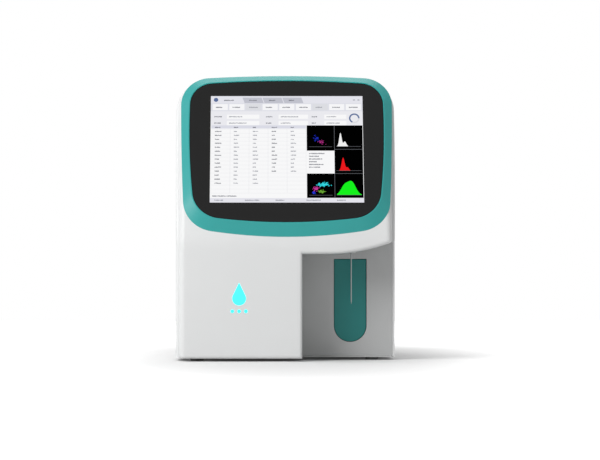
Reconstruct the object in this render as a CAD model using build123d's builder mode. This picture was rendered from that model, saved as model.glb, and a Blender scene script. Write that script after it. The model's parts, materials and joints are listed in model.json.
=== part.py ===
import os
from math import cos, pi, radians, sin, sqrt, tan

from build123d import *

os.makedirs("parts", exist_ok=True)

# Case: overall size, walls and the gap above the bench
case_width = 300.0
case_depth = 400.0
case_height = 389.0
foot_height = 4.0
wall = 3.0
seam = 0.3
front_y = -case_depth / 2
back_y = case_depth / 2
half_case = case_width / 2

# Front profile: upright up to lean_z, leaning back above it
lean_rise = 229.0
lean_z = case_height - lean_rise
lean_angle = 19.0
lean_blend = 60.0
lean = radians(lean_angle)

# Front cover and the housing behind it
cover_inset = 8.0
cover_half = half_case - cover_inset
cover_corner = 38.0
top_arch = 5.0
cover_depth = 30.0
cover_edge = 8.0
bay_edge = 4.0
housing_corner = 43.0
housing_edge = 2.5
housing_lip = 10.0
side_bow = 8.0
bow_lead = 1.4
bow_end = front_y + 85.0

# Sampling bay: notch in the lower right of the front
bay_left = 22.0
bay_drop = 16.3
bay_top = lean_z - bay_drop
bay_bend_x = 55.0
bay_rise = 18.75
bay_run = half_case - bay_bend_x
bay_arc = (bay_run**2 + bay_rise**2) / (2 * bay_rise)
bay_depth = 80.0
bay_back = front_y + bay_depth
ledge_height = 2.5
ledge_depth = 4.0

# Screen: outlines are half-widths and heights from the screen's centre, on the leaning deck
screen_up = 130.0
screen_x = 1.5
bezel_top = (case_height - lean_z) / cos(lean) - screen_up
glass_top = bezel_top - 10.8
glass_low = -105.3
bezel_low = -123.6
bezel_half_top = half_case - 6.0
bezel_half_mid = half_case - 7.9
bezel_half_low = half_case - 13.1
glass_half_top = half_case - 20.2
glass_half_mid = half_case - 18.5
glass_half_low = half_case - 27.5
glass_corner_top = 31.0
glass_corner_low = 40.0
bezel_corner_top = 40.0
bezel_corner_low = 45.0
glass_sag_top = 6.1
glass_sag_low = 10.4
glass_mid = 41.0
bezel_sag_top = 5.8
bezel_sag_low = 14.9
bezel_mid = 0.0
bezel_rise = 7.0
bezel_land = 1.5
glass_thick = 2.7
glass_sink = 0.3
glass_ledge = 4.0
glass_gap = 0.2
glass_edge = 0.5
lcd_width = 228.4
lcd_height = 175.4
lcd_thick = 7.6
lcd_gap = 1.0
lcd_corner = 2.0

# Start key behind the probe
key_inset = 61.0
key_x = half_case - key_inset
key_width = 44.0
key_drop = 5.7
key_top = bay_top - key_drop
key_low = 25.0
key_thick = 5.0
key_sink = 1.5
key_gap = 0.5
key_travel = 2.5
key_stem_r = 4.0
key_stem = 8.5
key_edge = 0.8
guide_gap = 1.0
guide_thick = 2.5

# Sample probe and its lift
probe_x = key_x
probe_inset = 48.0
probe_y = front_y + probe_inset
probe_drop = 66.7
probe_tip = bay_top - probe_drop
probe_length = 112.0
probe_r = 0.8
lift_travel = 60.0
wipe_r = 9.0
wipe_neck_r = 6.0
wipe_height = 14.0
wipe_edge = 0.8
rod_r = 4.0
rod_spacing = 34.0
rod_inset = 25.0
rod_y = bay_back + rod_inset
rod_gap = 0.08
lift_gap = 8.3
lift_head = 28.0
carriage_rise = 16.0
carriage_height = 26.0
lift_height = carriage_rise + carriage_height + lift_travel + lift_head
lift_low = bay_top + lift_gap
lift_top = lift_low + lift_height
carriage_low = lift_low + carriage_rise
plate_inset = 15.0
lift_plate_y = rod_y + plate_inset
pulley_r = 8.0
pulley_width = 6.0
pulley_rise = 14.0
pulley_margin = 40.0
pulley_span = lift_travel + pulley_margin
pulley_low_z = lift_low + pulley_rise
pulley_top_z = pulley_low_z + pulley_span
pulley_teeth = 16
tooth_gap = 1.0
belt_thick = 1.2
belt_width = 5.0
shaft_r = 2.5
shaft_gap = 0.06

# Side door on the right
door_front_inset = 145.0
door_back_inset = 35.0
door_top_inset = 59.0
door_front = front_y + door_front_inset
door_back = back_y - door_back_inset
door_low = 40.0
door_top = case_height - door_top_inset
door_gap = 1.0
door_corner = 5.0
hinge_x = half_case - 2.5
hinge_inset = 6.0
hinge_pin_r = 1.5
notch_length = 40.0
notch_width = 9.0

# Base, feet, frame and rear panel
base_thick = 2.5
flange = 12.0
foot_r = 9.0
stem_r = 3.0
frame_x = 2.0
frame_thick = 2.0
frame_drop = 89.0
frame_top = case_height - frame_drop
panel_inset = 14.0
panel_y = back_y - panel_inset
panel_thick = 2.0
base_z = foot_height + base_thick


# Closed outline with a flat foot, upright sides and an arched top
def arched(half, low, top, corner):
    with BuildSketch() as outline:
        with BuildLine():
            Polyline((-half, top - top_arch), (-half, low), (half, low), (half, top - top_arch))
            ThreePointArc((half, top - top_arch), (0, top), (-half, top - top_arch))
        make_face()
        fillet(outline.vertices().group_by(Axis.Y)[-1], corner)
    return outline.sketch


# Plan that the case is trimmed to: clear of the straight sides, which it meets at bow_end and then draws in
def plan(half):
    outer = half + bow_lead
    lead = (bow_lead, bow_end - front_y)
    with BuildSketch() as outline:
        with BuildLine():
            Polyline(
                (half, bow_end),
                (outer, bow_end + lead[1]),
                (outer, back_y + wall),
                (-outer, back_y + wall),
                (-outer, bow_end + lead[1]),
                (-half, bow_end),
            )
            TangentArc((-half, bow_end), (side_bow - half, front_y), tangent=(lead[0], -lead[1]))
            Line((side_bow - half, front_y), (half - side_bow, front_y))
            TangentArc((half, bow_end), (half - side_bow, front_y), tangent=(-lead[0], -lead[1]))
        make_face()
    return outline.sketch


# Height where the front profile, drawn in by inset, starts to lean
def bend_at(inset):
    return lean_z - inset * tan(lean / 2)


# Depth of the front profile at height z
def front_at(z, inset=0.0):
    return front_y + inset + max(0.0, z - bend_at(inset)) * tan(lean)


# Solid of the front cover's form, drawn in by inset and reaching back by reach
def cover_form(inset, reach):
    low = foot_height + inset
    top = case_height - inset
    with BuildPart() as form:
        with BuildSketch(Plane.YZ) as side:
            with BuildLine():
                Polyline(
                    (front_y + inset, low),
                    (front_y + inset, bend_at(inset)),
                    (front_at(top, inset), top),
                    (front_at(top) + reach, top),
                    (front_y + reach, lean_z),
                    (front_y + reach, low),
                    close=True,
                )
            make_face()
            bends = side.vertices().filter_by_position(Axis.Y, lean_z - wall, lean_z + wall)
            fillet(bends.sort_by(Axis.X)[0], lean_blend - inset)
            bends = side.vertices().filter_by_position(Axis.Y, lean_z - wall, lean_z + wall)
            fillet(bends.sort_by(Axis.X)[-1], lean_blend - reach)
        extrude(amount=cover_half - inset, both=True)
        with BuildSketch(Plane.XZ):
            add(arched(cover_half - inset, low, top, cover_corner - inset))
        extrude(amount=case_depth, both=True, mode=Mode.INTERSECT)
    return form.part


# Solid of the housing's form: starts lead behind the front profile and ends at back
def housing_form(inset, lead, back):
    low = foot_height - (inset > 0) * wall
    top = case_height - inset
    with BuildPart() as form:
        with BuildSketch(Plane.YZ) as side:
            with BuildLine():
                Polyline(
                    (front_y + lead, low),
                    (front_y + lead, lean_z),
                    (front_at(top) + lead, top),
                    (back, top),
                    (back, low),
                    close=True,
                )
            make_face()
            bend = side.vertices().filter_by_position(Axis.Y, lean_z - wall, lean_z + wall)
            fillet(bend, lean_blend - lead)
        extrude(amount=half_case - inset, both=True)
        with BuildSketch(Plane.XZ):
            add(arched(half_case - inset, low, top, housing_corner - inset))
        extrude(amount=case_depth, both=True, mode=Mode.INTERSECT)
        with BuildSketch(Plane.XY):
            add(plan(half_case - inset))
        extrude(amount=case_height, mode=Mode.INTERSECT)
    return form.part


# Outline of the sampling bay, grown outwards by grow
def bay_outline(grow):
    end_x = half_case + wall
    radius = bay_arc - grow

    def ceiling(x):
        return (x, bay_top + bay_arc - sqrt(radius**2 - (x - bay_bend_x) ** 2))

    with BuildSketch() as notch:
        with BuildLine():
            Polyline(
                ceiling(end_x),
                (end_x, -wall),
                (bay_left - grow, -wall),
                (bay_left - grow, bay_top + grow),
                ceiling(bay_bend_x),
            )
            ThreePointArc(ceiling(bay_bend_x), ceiling((bay_bend_x + end_x) / 2), ceiling(end_x))
        make_face()
    return notch.sketch


# Rounded four-sided outline with bowed sides, used for the bezel and the glass
def bowed(half_top, top_z, top, half_mid, mid_z, half_low, low_z, low, r_top, r_low):
    with BuildSketch() as outline:
        with BuildLine():
            ThreePointArc((-half_top, top_z), (0, top), (half_top, top_z))
            ThreePointArc((half_top, top_z), (half_mid, mid_z), (half_low, low_z))
            ThreePointArc((half_low, low_z), (0, low), (-half_low, low_z))
            ThreePointArc((-half_low, low_z), (-half_mid, mid_z), (-half_top, top_z))
        make_face()
        fillet(outline.vertices().group_by(Axis.Y)[-1], r_top)
        fillet(outline.vertices().group_by(Axis.Y)[0], r_low)
    return outline.sketch


# Outline of the glass, grown outwards by grow
def glass_outline(grow):
    top = glass_top + grow
    low = glass_low - grow
    return bowed(
        glass_half_top + grow,
        top - glass_sag_top,
        top,
        glass_half_mid + grow,
        glass_mid,
        glass_half_low + grow,
        low + glass_sag_low,
        low,
        glass_corner_top + grow,
        glass_corner_low + grow,
    )


# Outline of the bezel where it meets the cover
def bezel_outline():
    return bowed(
        bezel_half_top,
        bezel_top - bezel_sag_top,
        bezel_top,
        bezel_half_mid,
        bezel_mid,
        bezel_half_low,
        bezel_low + bezel_sag_low,
        bezel_low,
        bezel_corner_top,
        bezel_corner_low,
    )


# Plane of the leaning deck, centred on the screen
deck = Plane(
    origin=(screen_x, front_y + screen_up * sin(lean), lean_z + screen_up * cos(lean)),
    x_dir=(1, 0, 0),
    z_dir=(0, -cos(lean), sin(lean)),
)


# Outline of the start key, grown outwards by grow
def key_outline(grow):
    half = key_width / 2 + grow
    with BuildSketch() as outline:
        with Locations((key_x, key_top + grow)):
            Rectangle(2 * half, key_top - key_low - key_width / 2 + grow, align=(Align.CENTER, Align.MAX))
        with Locations((key_x, key_low + key_width / 2)):
            Circle(half)
    return outline.sketch


# Status light: a drop with three dots below, seen from the front
light_x = -62.0
light_z = 84.0
drop_r = 9.0
drop_tip = 21.0
dot_r = 2.2
dot_pitch = 9.0
dot_drop = 17.0


def light_outline(grow):
    radius = drop_r + grow
    touch = radius**2 / drop_tip
    side = radius * sqrt(1 - (radius / drop_tip) ** 2)
    with BuildSketch() as outline:
        with BuildLine():
            Polyline((side, touch), (0, drop_tip), (-side, touch))
            ThreePointArc((-side, touch), (0, -radius), (side, touch))
        make_face()
        with Locations(*[(n * dot_pitch, -dot_drop) for n in (-1, 0, 1)]):
            Circle(dot_r + grow)
    return outline.sketch


light_plane = Plane(origin=(light_x, front_y + wall, light_z), x_dir=(1, 0, 0), z_dir=(0, -1, 0))

# Outer form of the front cover, with the bay cut out and its edges rounded
with BuildPart() as cover_skin:
    add(cover_form(0, cover_depth))
    with BuildSketch(Plane.XZ):
        add(bay_outline(0))
    extrude(amount=case_depth, both=True, mode=Mode.SUBTRACT)
    rim = [
        edge
        for edge in cover_skin.edges()
        if all(abs(point.Y - front_at(point.Z)) < wall for point in (edge @ 0, edge @ 0.5, edge @ 1))
    ]
    outer_rim = [edge for edge in rim if edge.center().Z > lean_z or abs(edge.center().X) > cover_half - wall]
    fillet([edge for edge in outer_rim if edge.geom_type != GeomType.BSPLINE], cover_edge)
    bay_rim = [
        edge
        for edge in cover_skin.edges()
        if abs(edge.center().Y - front_y) < wall
        and (bay_left - 1 < edge.center().X < cover_half - cover_edge or edge.center().Z < foot_height + 0.1)
        and edge.center().Z < bay_top + wall
    ]
    fillet(bay_rim, bay_edge)

# Space inside the front cover
with BuildPart() as cover_hollow:
    add(cover_form(wall, cover_depth + wall))
    with BuildSketch(Plane.XZ):
        add(bay_outline(wall))
    extrude(amount=case_depth, both=True, mode=Mode.SUBTRACT)

# Front cover: moulded shell with a window for the display and holes for the light
with BuildPart() as front_cover:
    add(cover_skin.part)
    add(cover_hollow.part, mode=Mode.SUBTRACT)
    with BuildSketch(deck):
        RectangleRounded(lcd_width + 2 * lcd_gap, lcd_height + 2 * lcd_gap, lcd_corner)
    extrude(amount=2 * wall, both=True, mode=Mode.SUBTRACT)
    with BuildSketch(light_plane):
        add(light_outline(glass_gap))
    extrude(amount=2 * wall, both=True, mode=Mode.SUBTRACT)
front_cover.part.label = "front_cover"
export_step(front_cover.part, "parts/front_cover.step")

# Height of the glass's back over the deck
glass_back = bezel_rise - glass_thick - glass_sink

# Bezel: sloping ring that frames the glass, stands proud of the deck and wraps the cover's edge
with BuildPart() as screen_bezel:
    with BuildSketch(deck):
        add(bezel_outline())
    with BuildSketch(deck.offset(bezel_rise)):
        add(glass_outline(bezel_land))
    loft()
    with BuildSketch(deck):
        add(bezel_outline())
    extrude(amount=-cover_edge)
    add(cover_skin.part, mode=Mode.SUBTRACT)
    with BuildSketch(deck.offset(bezel_rise)):
        add(glass_outline(glass_gap))
    extrude(amount=-(glass_thick + glass_sink), mode=Mode.SUBTRACT)
    with BuildSketch(deck):
        add(glass_outline(-glass_ledge))
        RectangleRounded(lcd_width + 2 * lcd_gap, lcd_height + 2 * lcd_gap, lcd_corner)
    extrude(amount=glass_back, mode=Mode.SUBTRACT)
screen_bezel.part.label = "screen_bezel"
export_step(screen_bezel.part, "parts/screen_bezel.step")

# Glass: black-edged touch panel lying in the bezel's seat
with BuildPart() as touch_glass:
    with BuildSketch(deck.offset(glass_back)):
        add(glass_outline(0))
    extrude(amount=glass_thick)
    chamfer(touch_glass.faces().sort_by(Axis((0, 0, 0), tuple(deck.z_dir)))[-1].edges(), glass_edge)
touch_glass.part.label = "touch_glass"
export_step(touch_glass.part, "parts/touch_glass.step")

# Display module behind the glass
with BuildPart() as lcd_module:
    with BuildSketch(deck.offset(glass_back)):
        RectangleRounded(lcd_width, lcd_height, lcd_corner)
    extrude(amount=-lcd_thick)
lcd_module.part.label = "lcd_module"
export_step(lcd_module.part, "parts/lcd_module.step")

# Bracket that clamps the display module to the back of the cover's deck
bracket_thick = 1.5
bracket_rim = 10.0
bracket_bar = 16.0
bracket_corner = 4.0
bracket_window = 6.0
lcd_back = glass_back - lcd_thick
with BuildPart() as screen_bracket:
    with BuildSketch(deck.offset(lcd_back)):
        RectangleRounded(lcd_width + 2 * bracket_rim, lcd_height, bracket_corner)
    extrude(amount=-bracket_thick)
    with BuildSketch(deck.offset(lcd_back)):
        with GridLocations(lcd_width / 3, 0, 3, 1):
            RectangleRounded(lcd_width / 3 - bracket_bar, lcd_height - 2 * bracket_bar, bracket_window)
    extrude(amount=-bracket_thick, mode=Mode.SUBTRACT)
    with BuildSketch(deck.offset(lcd_back)):
        with GridLocations(lcd_width + bracket_rim, lcd_height - bracket_bar, 2, 2):
            Rectangle(bracket_rim - 2 * lcd_gap, bracket_bar)
    extrude(amount=-lcd_back - wall)
screen_bracket.part.label = "screen_bracket"
export_step(screen_bracket.part, "parts/screen_bracket.step")

# Display board on the left of the bracket
board_thick = 1.6
board_corner = 3.0
post_height = 4.0
post_r = 2.5
display_chip = 24.0
display_chip_up = 20.0
display_plug = (40.0, 12.0)
display_plug_drop = 30.0
display_rise = 3.0
with BuildPart() as display_board:
    with BuildSketch(deck.offset(lcd_back - bracket_thick - post_height)):
        with Locations((-lcd_width / 3, 0)):
            RectangleRounded(lcd_width / 3 - seam, lcd_height - bracket_bar, board_corner)
    extrude(amount=-board_thick)
    with BuildSketch(deck.offset(lcd_back - bracket_thick)):
        with Locations((-lcd_width / 3, 0)):
            with GridLocations(lcd_width / 3 - bracket_bar / 2, lcd_height - 1.5 * bracket_bar, 2, 2):
                Circle(post_r)
    extrude(amount=-post_height)
    with BuildSketch(deck.offset(lcd_back - bracket_thick - post_height - board_thick)):
        with Locations((-lcd_width / 3, display_chip_up)):
            Rectangle(display_chip, display_chip)
        with Locations((-lcd_width / 3, -display_plug_drop)):
            Rectangle(*display_plug)
    extrude(amount=-display_rise)
display_board.part.label = "display_board"
export_step(display_board.part, "parts/display_board.step")

# Status light: clear guide with the drop and dots on a flange behind the wall
light_flange = 2.0
light_margin = (1.0, 3.0)
light_corner = 4.0
light_post_inset = 4.0
lamp_size = 3.0
lamp_thick = 1.0
light_width = 2 * (drop_tip + light_margin[0])
light_height = 2 * (drop_tip + light_margin[1])
with BuildPart() as status_light:
    with BuildSketch(light_plane):
        add(light_outline(0))
    extrude(amount=wall)
    with BuildSketch(light_plane):
        RectangleRounded(light_width, light_height, light_corner)
    extrude(amount=-light_flange)
status_light.part.label = "status_light"
export_step(status_light.part, "parts/status_light.step")

# Board with the lamps behind the status light
with BuildPart() as light_board:
    with BuildSketch(light_plane.offset(-light_flange - post_height)):
        RectangleRounded(light_width, light_height, light_corner)
    extrude(amount=-board_thick)
    with BuildSketch(light_plane.offset(-light_flange)):
        with GridLocations(light_width - 2 * light_post_inset, light_height - 2 * light_post_inset, 2, 2):
            Circle(post_r)
    extrude(amount=-post_height)
    with BuildSketch(light_plane.offset(-light_flange - post_height)):
        with GridLocations(dot_pitch, dot_pitch, 3, 3):
            Rectangle(lamp_size, lamp_size)
    extrude(amount=lamp_thick)
light_board.part.label = "light_board"
export_step(light_board.part, "parts/light_board.step")

# Space that the bay liner takes inside the housing's walls
with BuildPart() as liner_room:
    with BuildSketch(Plane.XZ.offset(-bay_back - wall)):
        add(bay_outline(wall + seam))
        with Locations((half_case - wall, 0)):
            Rectangle(case_width, case_height, align=(Align.MAX, Align.MIN), mode=Mode.INTERSECT)
    extrude(amount=case_depth)
    with BuildSketch(Plane.XY):
        add(plan(half_case - wall))
    extrude(amount=case_height, mode=Mode.INTERSECT)

# Housing: top and both sides in one shell, with a lip that the front cover seats on
housing_lead = cover_depth + seam
boss_reach = 8.0
boss_width = 12.0
slot_place = (90.0, 110.0)
slot_pitch = 9.0
slot_count = 12
slot_length = 50.0
slot_width = 4.0
with BuildPart() as housing:
    add(housing_form(0, housing_lead, back_y))
    rim = [
        edge
        for edge in housing.edges()
        if all(
            abs(point.Y - front_at(point.Z) - housing_lead) < wall and point.Z > foot_height + wall
            for point in (edge @ 0.1, edge @ 0.5, edge @ 0.9)
        )
        and edge.length < case_width - 2 * wall
    ]
    fillet(rim, housing_edge)
    add(housing_form(wall, housing_lead + wall, back_y + wall), mode=Mode.SUBTRACT)
    with BuildSketch(Plane.XZ):
        add(
            arched(
                half_case - wall - housing_lip,
                -wall,
                case_height - wall - housing_lip,
                housing_corner - wall - housing_lip,
            )
        )
    extrude(amount=case_depth, both=True, mode=Mode.SUBTRACT)
    with BuildSketch(Plane.XZ.offset(-bay_back)):
        add(bay_outline(0))
    extrude(amount=case_depth, mode=Mode.SUBTRACT)
    add(liner_room.part, mode=Mode.SUBTRACT)
    # Inner lip that the rear panel screws to
    with BuildSketch(Plane.XZ.offset(-panel_y)):
        add(arched(half_case - wall / 2, base_z + seam, case_height - wall / 2, housing_corner - wall / 2))
        add(
            arched(
                half_case - wall - housing_lip,
                0,
                case_height - wall - housing_lip,
                housing_corner - wall - housing_lip,
            ),
            mode=Mode.SUBTRACT,
        )
    extrude(amount=wall)
    # Opening for the side door
    with BuildSketch(Plane.YZ.offset(half_case)):
        with Locations(((door_front + door_back) / 2, (door_low + door_top) / 2)):
            RectangleRounded(
                door_back - door_front + 2 * door_gap,
                door_top - door_low + 2 * door_gap,
                door_corner + door_gap,
            )
    extrude(amount=wall + 1, both=True, mode=Mode.SUBTRACT)
    # Bosses that hold the door's hinge pins
    for boss_z in (door_low - door_gap - flange / 2, door_top + door_gap + flange / 2):
        with BuildSketch(Plane.XY.offset(boss_z - flange / 2)):
            with Locations((half_case - wall + seam, door_back - hinge_inset)):
                Rectangle(boss_reach, boss_width, align=(Align.MAX, Align.CENTER))
        extrude(amount=flange)
    with BuildSketch(Plane.XY.offset(door_low - door_gap - flange)):
        with Locations((hinge_x, door_back - hinge_inset)):
            Circle(hinge_pin_r)
    extrude(amount=door_top - door_low + 2 * door_gap + 2 * flange, mode=Mode.SUBTRACT)
    # Cooling slots low on the left side
    with BuildSketch(Plane.YZ.offset(-half_case)):
        with Locations(slot_place):
            with GridLocations(slot_pitch, 0, slot_count, 1):
                SlotOverall(slot_length, slot_width, rotation=90)
    extrude(amount=2 * wall, both=True, mode=Mode.SUBTRACT)
housing.part.label = "housing_cover"
export_step(housing.part, "parts/housing_cover.step")

# Bay liner: ceiling, left wall and back wall of the sampling bay
liner_front = front_y + cover_depth + seam
with BuildPart() as bay_liner:
    with BuildSketch(Plane.XZ.offset(-liner_front)):
        add(bay_outline(wall))
    extrude(amount=-(bay_back + wall - liner_front))
    add(housing_form(0, housing_lead, back_y), mode=Mode.INTERSECT)
    with BuildSketch(Plane.XZ.offset(-bay_back)):
        add(bay_outline(0))
    extrude(amount=bay_depth, mode=Mode.SUBTRACT)
    split(bisect_by=Plane.XY.offset(foot_height), keep=Keep.TOP)
    with BuildSketch(Plane.XZ.offset(-bay_back - wall)):
        add(key_outline(key_gap))
    extrude(amount=2 * wall, mode=Mode.SUBTRACT)
    with BuildSketch(Plane.XY.offset(bay_top)):
        with Locations((probe_x, probe_y)):
            Circle(wipe_neck_r + seam)
    extrude(amount=bay_top, mode=Mode.SUBTRACT)
    # Ledge along the foot of the back wall
    with BuildSketch(Plane.YZ.offset(bay_left)):
        with BuildLine():
            Polyline(
                (bay_back, foot_height),
                (bay_back - ledge_depth, foot_height),
                (bay_back - ledge_depth, foot_height + ledge_height / 2),
                (bay_back, foot_height + ledge_height),
                close=True,
            )
        make_face()
    extrude(amount=half_case - bay_left)
    with BuildSketch(Plane.XY):
        add(plan(half_case - wall - seam))
    extrude(amount=case_height, mode=Mode.INTERSECT)
bay_liner.part.label = "bay_liner"
export_step(bay_liner.part, "parts/bay_liner.step")

# Start key: teal plate with a round foot, guided by a stem
key_front = bay_back + key_sink
key_back = key_front + key_thick
key_mid_z = (key_top + key_low) / 2
with BuildPart() as start_key:
    with BuildSketch(Plane.XZ.offset(-key_back)):
        add(key_outline(0))
    extrude(amount=key_thick)
    fillet(start_key.faces().sort_by(Axis.Y)[0].edges(), key_edge)
    with BuildSketch(Plane.XZ.offset(-key_back)):
        with Locations((key_x, key_mid_z)):
            Circle(key_stem_r)
    extrude(amount=-key_stem)
start_key.part.label = "start_key"
export_step(start_key.part, "parts/start_key.step")

# Key guide: plate behind the key, on four posts from the back of the liner
guide_front = key_back + key_travel + guide_gap
guide_back = guide_front + guide_thick
guide_rim = (13.0, 5.0)
guide_corner = 6.0
guide_post_inset = 5.0
guide_post_r = 3.5
guide_width = key_width + 2 * guide_rim[0]
guide_height = key_top - key_low + 2 * guide_rim[1]
with BuildPart() as key_guide:
    with BuildSketch(Plane.XZ.offset(-guide_back)):
        with Locations((key_x, key_mid_z)):
            RectangleRounded(guide_width, guide_height, guide_corner)
            Circle(key_stem_r + seam, mode=Mode.SUBTRACT)
    extrude(amount=guide_thick)
    with BuildSketch(Plane.XZ.offset(-guide_front)):
        with Locations((key_x, key_mid_z)):
            with GridLocations(guide_width - 2 * guide_post_inset, guide_height - 2 * guide_post_inset, 2, 2):
                Circle(guide_post_r)
    extrude(amount=guide_front - bay_back - wall)
key_guide.part.label = "key_guide"
export_step(key_guide.part, "parts/key_guide.step")

# Switch behind the guide, pressed by the stem
switch_gap = 0.4
switch_size = (28.0, 16.0, 14.0)
switch_slot = 12.0
stem_end = key_back + key_stem + key_travel + switch_gap
with BuildPart() as key_switch:
    with BuildSketch(Plane.XZ.offset(-guide_back)):
        with Locations((key_x, key_mid_z)):
            Rectangle(*switch_size[:2])
    extrude(amount=-switch_size[2])
    with BuildSketch(Plane.XZ.offset(-guide_back)):
        with Locations((key_x, key_mid_z)):
            Rectangle(switch_slot, switch_size[1])
    extrude(amount=-(stem_end - guide_back), mode=Mode.SUBTRACT)
key_switch.part.label = "key_switch"
export_step(key_switch.part, "parts/key_switch.step")

# Probe wipe: block on the bay's ceiling that the probe runs through
ceiling_z = bay_top + bay_arc - sqrt(bay_arc**2 - (probe_x - bay_bend_x) ** 2)
wipe_seat = bay_top + bay_arc - sqrt((bay_arc - wall) ** 2 - (probe_x + wipe_r - bay_bend_x) ** 2) + seam
with BuildPart() as probe_wipe:
    with BuildSketch(Plane.XY.offset(wipe_seat)):
        with Locations((probe_x, probe_y)):
            Circle(wipe_r)
    extrude(amount=wipe_height)
    with BuildSketch(Plane.XY.offset(ceiling_z)):
        with Locations((probe_x, probe_y)):
            Circle(wipe_neck_r)
    extrude(amount=wipe_height / 2)
    with BuildSketch(Plane.XY.offset(ceiling_z)):
        with Locations((probe_x, probe_y)):
            Circle(probe_r + seam)
    extrude(amount=2 * wipe_height, mode=Mode.SUBTRACT)
    chamfer(probe_wipe.faces().sort_by(Axis.Z)[-1].edges(), wipe_edge)
probe_wipe.part.label = "probe_wipe"
export_step(probe_wipe.part, "parts/probe_wipe.step")

# Probe: thin needle with a sharpened tip and a collar in the carriage
probe_top = probe_tip + probe_length
collar_r = 3.0
collar_height = 12.0
tip_taper = 3.0
with BuildPart() as probe:
    with BuildSketch(Plane.XZ.offset(-probe_y)):
        with BuildLine():
            Polyline(
                (probe_x, probe_tip),
                (probe_x + probe_r / 3, probe_tip),
                (probe_x + probe_r, probe_tip + tip_taper),
                (probe_x + probe_r, probe_top - collar_height),
                (probe_x + collar_r, probe_top - collar_height),
                (probe_x + collar_r, probe_top),
                (probe_x, probe_top),
                close=True,
            )
        make_face()
    revolve(axis=Axis((probe_x, probe_y, 0), (0, 0, 1)))
probe.part.label = "probe"
export_step(probe.part, "parts/probe.step")

# Carriage: slider on the two rods, an arm to the probe and a fork beside the belt
arm_width = 14.0
arm_low = probe_top - collar_height
arm_height = 12.0
arm_lap = 2.0
rod_cover = 3.0
rod_cover_back = 2.0
carriage_corner = 3.0
carriage_half = rod_spacing / 2 + rod_r + rod_cover
carriage_front = rod_y - rod_r - rod_cover
carriage_back = rod_y + rod_r + rod_cover_back
strand_x = probe_x - pulley_r - belt_thick / 2
belt_y = (lift_plate_y + carriage_back) / 2
fork = 4.0
fork_rise = 4.0
fork_height = 8.0
with BuildPart() as probe_carriage:
    with BuildSketch(Plane.XY.offset(carriage_low)):
        with Locations((probe_x, (carriage_front + carriage_back) / 2)):
            RectangleRounded(2 * carriage_half, carriage_back - carriage_front, carriage_corner)
    extrude(amount=carriage_height)
    with BuildSketch(Plane.XY.offset(arm_low)):
        with Locations((probe_x, probe_y)):
            Circle(arm_width / 2)
        with Locations((probe_x, (probe_y + carriage_front + arm_lap) / 2)):
            Rectangle(arm_width, carriage_front - probe_y + arm_lap)
    extrude(amount=arm_height)
    with BuildSketch(Plane.XY.offset(arm_low)):
        with Locations((probe_x, probe_y)):
            Circle(collar_r)
    extrude(amount=arm_height, mode=Mode.SUBTRACT)
    with BuildSketch(Plane.XY.offset(carriage_low)):
        with Locations((probe_x, rod_y)):
            with GridLocations(rod_spacing, 0, 2, 1):
                Circle(rod_r + rod_gap)
    extrude(amount=carriage_height, mode=Mode.SUBTRACT)
    # Fork that grips the belt's left strand
    with BuildSketch(Plane.XY.offset(pulley_low_z + pulley_r + belt_thick + fork_rise)):
        with Locations((strand_x, (carriage_back + belt_y + belt_width / 2) / 2)):
            Rectangle(belt_thick + 2 * seam + fork, belt_y + belt_width / 2 - carriage_back)
        with Locations((strand_x, belt_y)):
            Rectangle(belt_thick + 2 * seam, belt_width + 4 * seam, mode=Mode.SUBTRACT)
    extrude(amount=fork_height)
probe_carriage.part.label = "probe_carriage"
export_step(probe_carriage.part, "parts/probe_carriage.step")

# Lift bracket: folded plate with a tab at each end for the rods
tab = 3.0
lift_margin = 3.0
lift_corner = 4.0
shaft_hole_gap = 2.0
lift_half = carriage_half + lift_margin
with BuildPart() as lift_bracket:
    with BuildSketch(Plane.XZ.offset(-lift_plate_y - tab)):
        with Locations((probe_x, (lift_low + lift_top) / 2)):
            RectangleRounded(2 * lift_half, lift_top - lift_low, lift_corner)
    extrude(amount=tab)
    for tab_z in (lift_low, lift_top - tab):
        with BuildSketch(Plane.XY.offset(tab_z)):
            with Locations((probe_x, (carriage_front + lift_plate_y + tab) / 2)):
                Rectangle(2 * lift_half, lift_plate_y + tab - carriage_front)
            with Locations((probe_x, rod_y)):
                with GridLocations(rod_spacing, 0, 2, 1):
                    Circle(rod_r, mode=Mode.SUBTRACT)
        extrude(amount=tab)
    with BuildSketch(Plane.XZ.offset(-lift_plate_y - tab)):
        with Locations((probe_x, pulley_top_z)):
            Circle(shaft_r + shaft_hole_gap)
    extrude(amount=tab, mode=Mode.SUBTRACT)
lift_bracket.part.label = "lift_bracket"
export_step(lift_bracket.part, "parts/lift_bracket.step")

# Guide rods of the lift
with BuildPart() as lift_rods:
    with BuildSketch(Plane.XY.offset(lift_low)):
        with Locations((probe_x, rod_y)):
            with GridLocations(rod_spacing, 0, 2, 1):
                Circle(rod_r)
    extrude(amount=lift_top - lift_low)
lift_rods.part.label = "lift_rods"
export_step(lift_rods.part, "parts/lift_rods.step")

# Lift motor behind the bracket, its shaft reaching through to the belt
motor_size = 35.0
motor_length = 28.0
motor_corner = 4.0
with BuildPart() as lift_motor:
    with BuildSketch(Plane.XZ.offset(-lift_plate_y - tab)):
        with Locations((probe_x, pulley_top_z)):
            RectangleRounded(motor_size, motor_size, motor_corner)
    extrude(amount=-motor_length)
    with BuildSketch(Plane.XZ.offset(-lift_plate_y - tab)):
        with Locations((probe_x, pulley_top_z)):
            Circle(shaft_r)
    extrude(amount=lift_plate_y + tab - belt_y + pulley_width / 2)
lift_motor.part.label = "lift_motor"
export_step(lift_motor.part, "parts/lift_motor.step")

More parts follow.
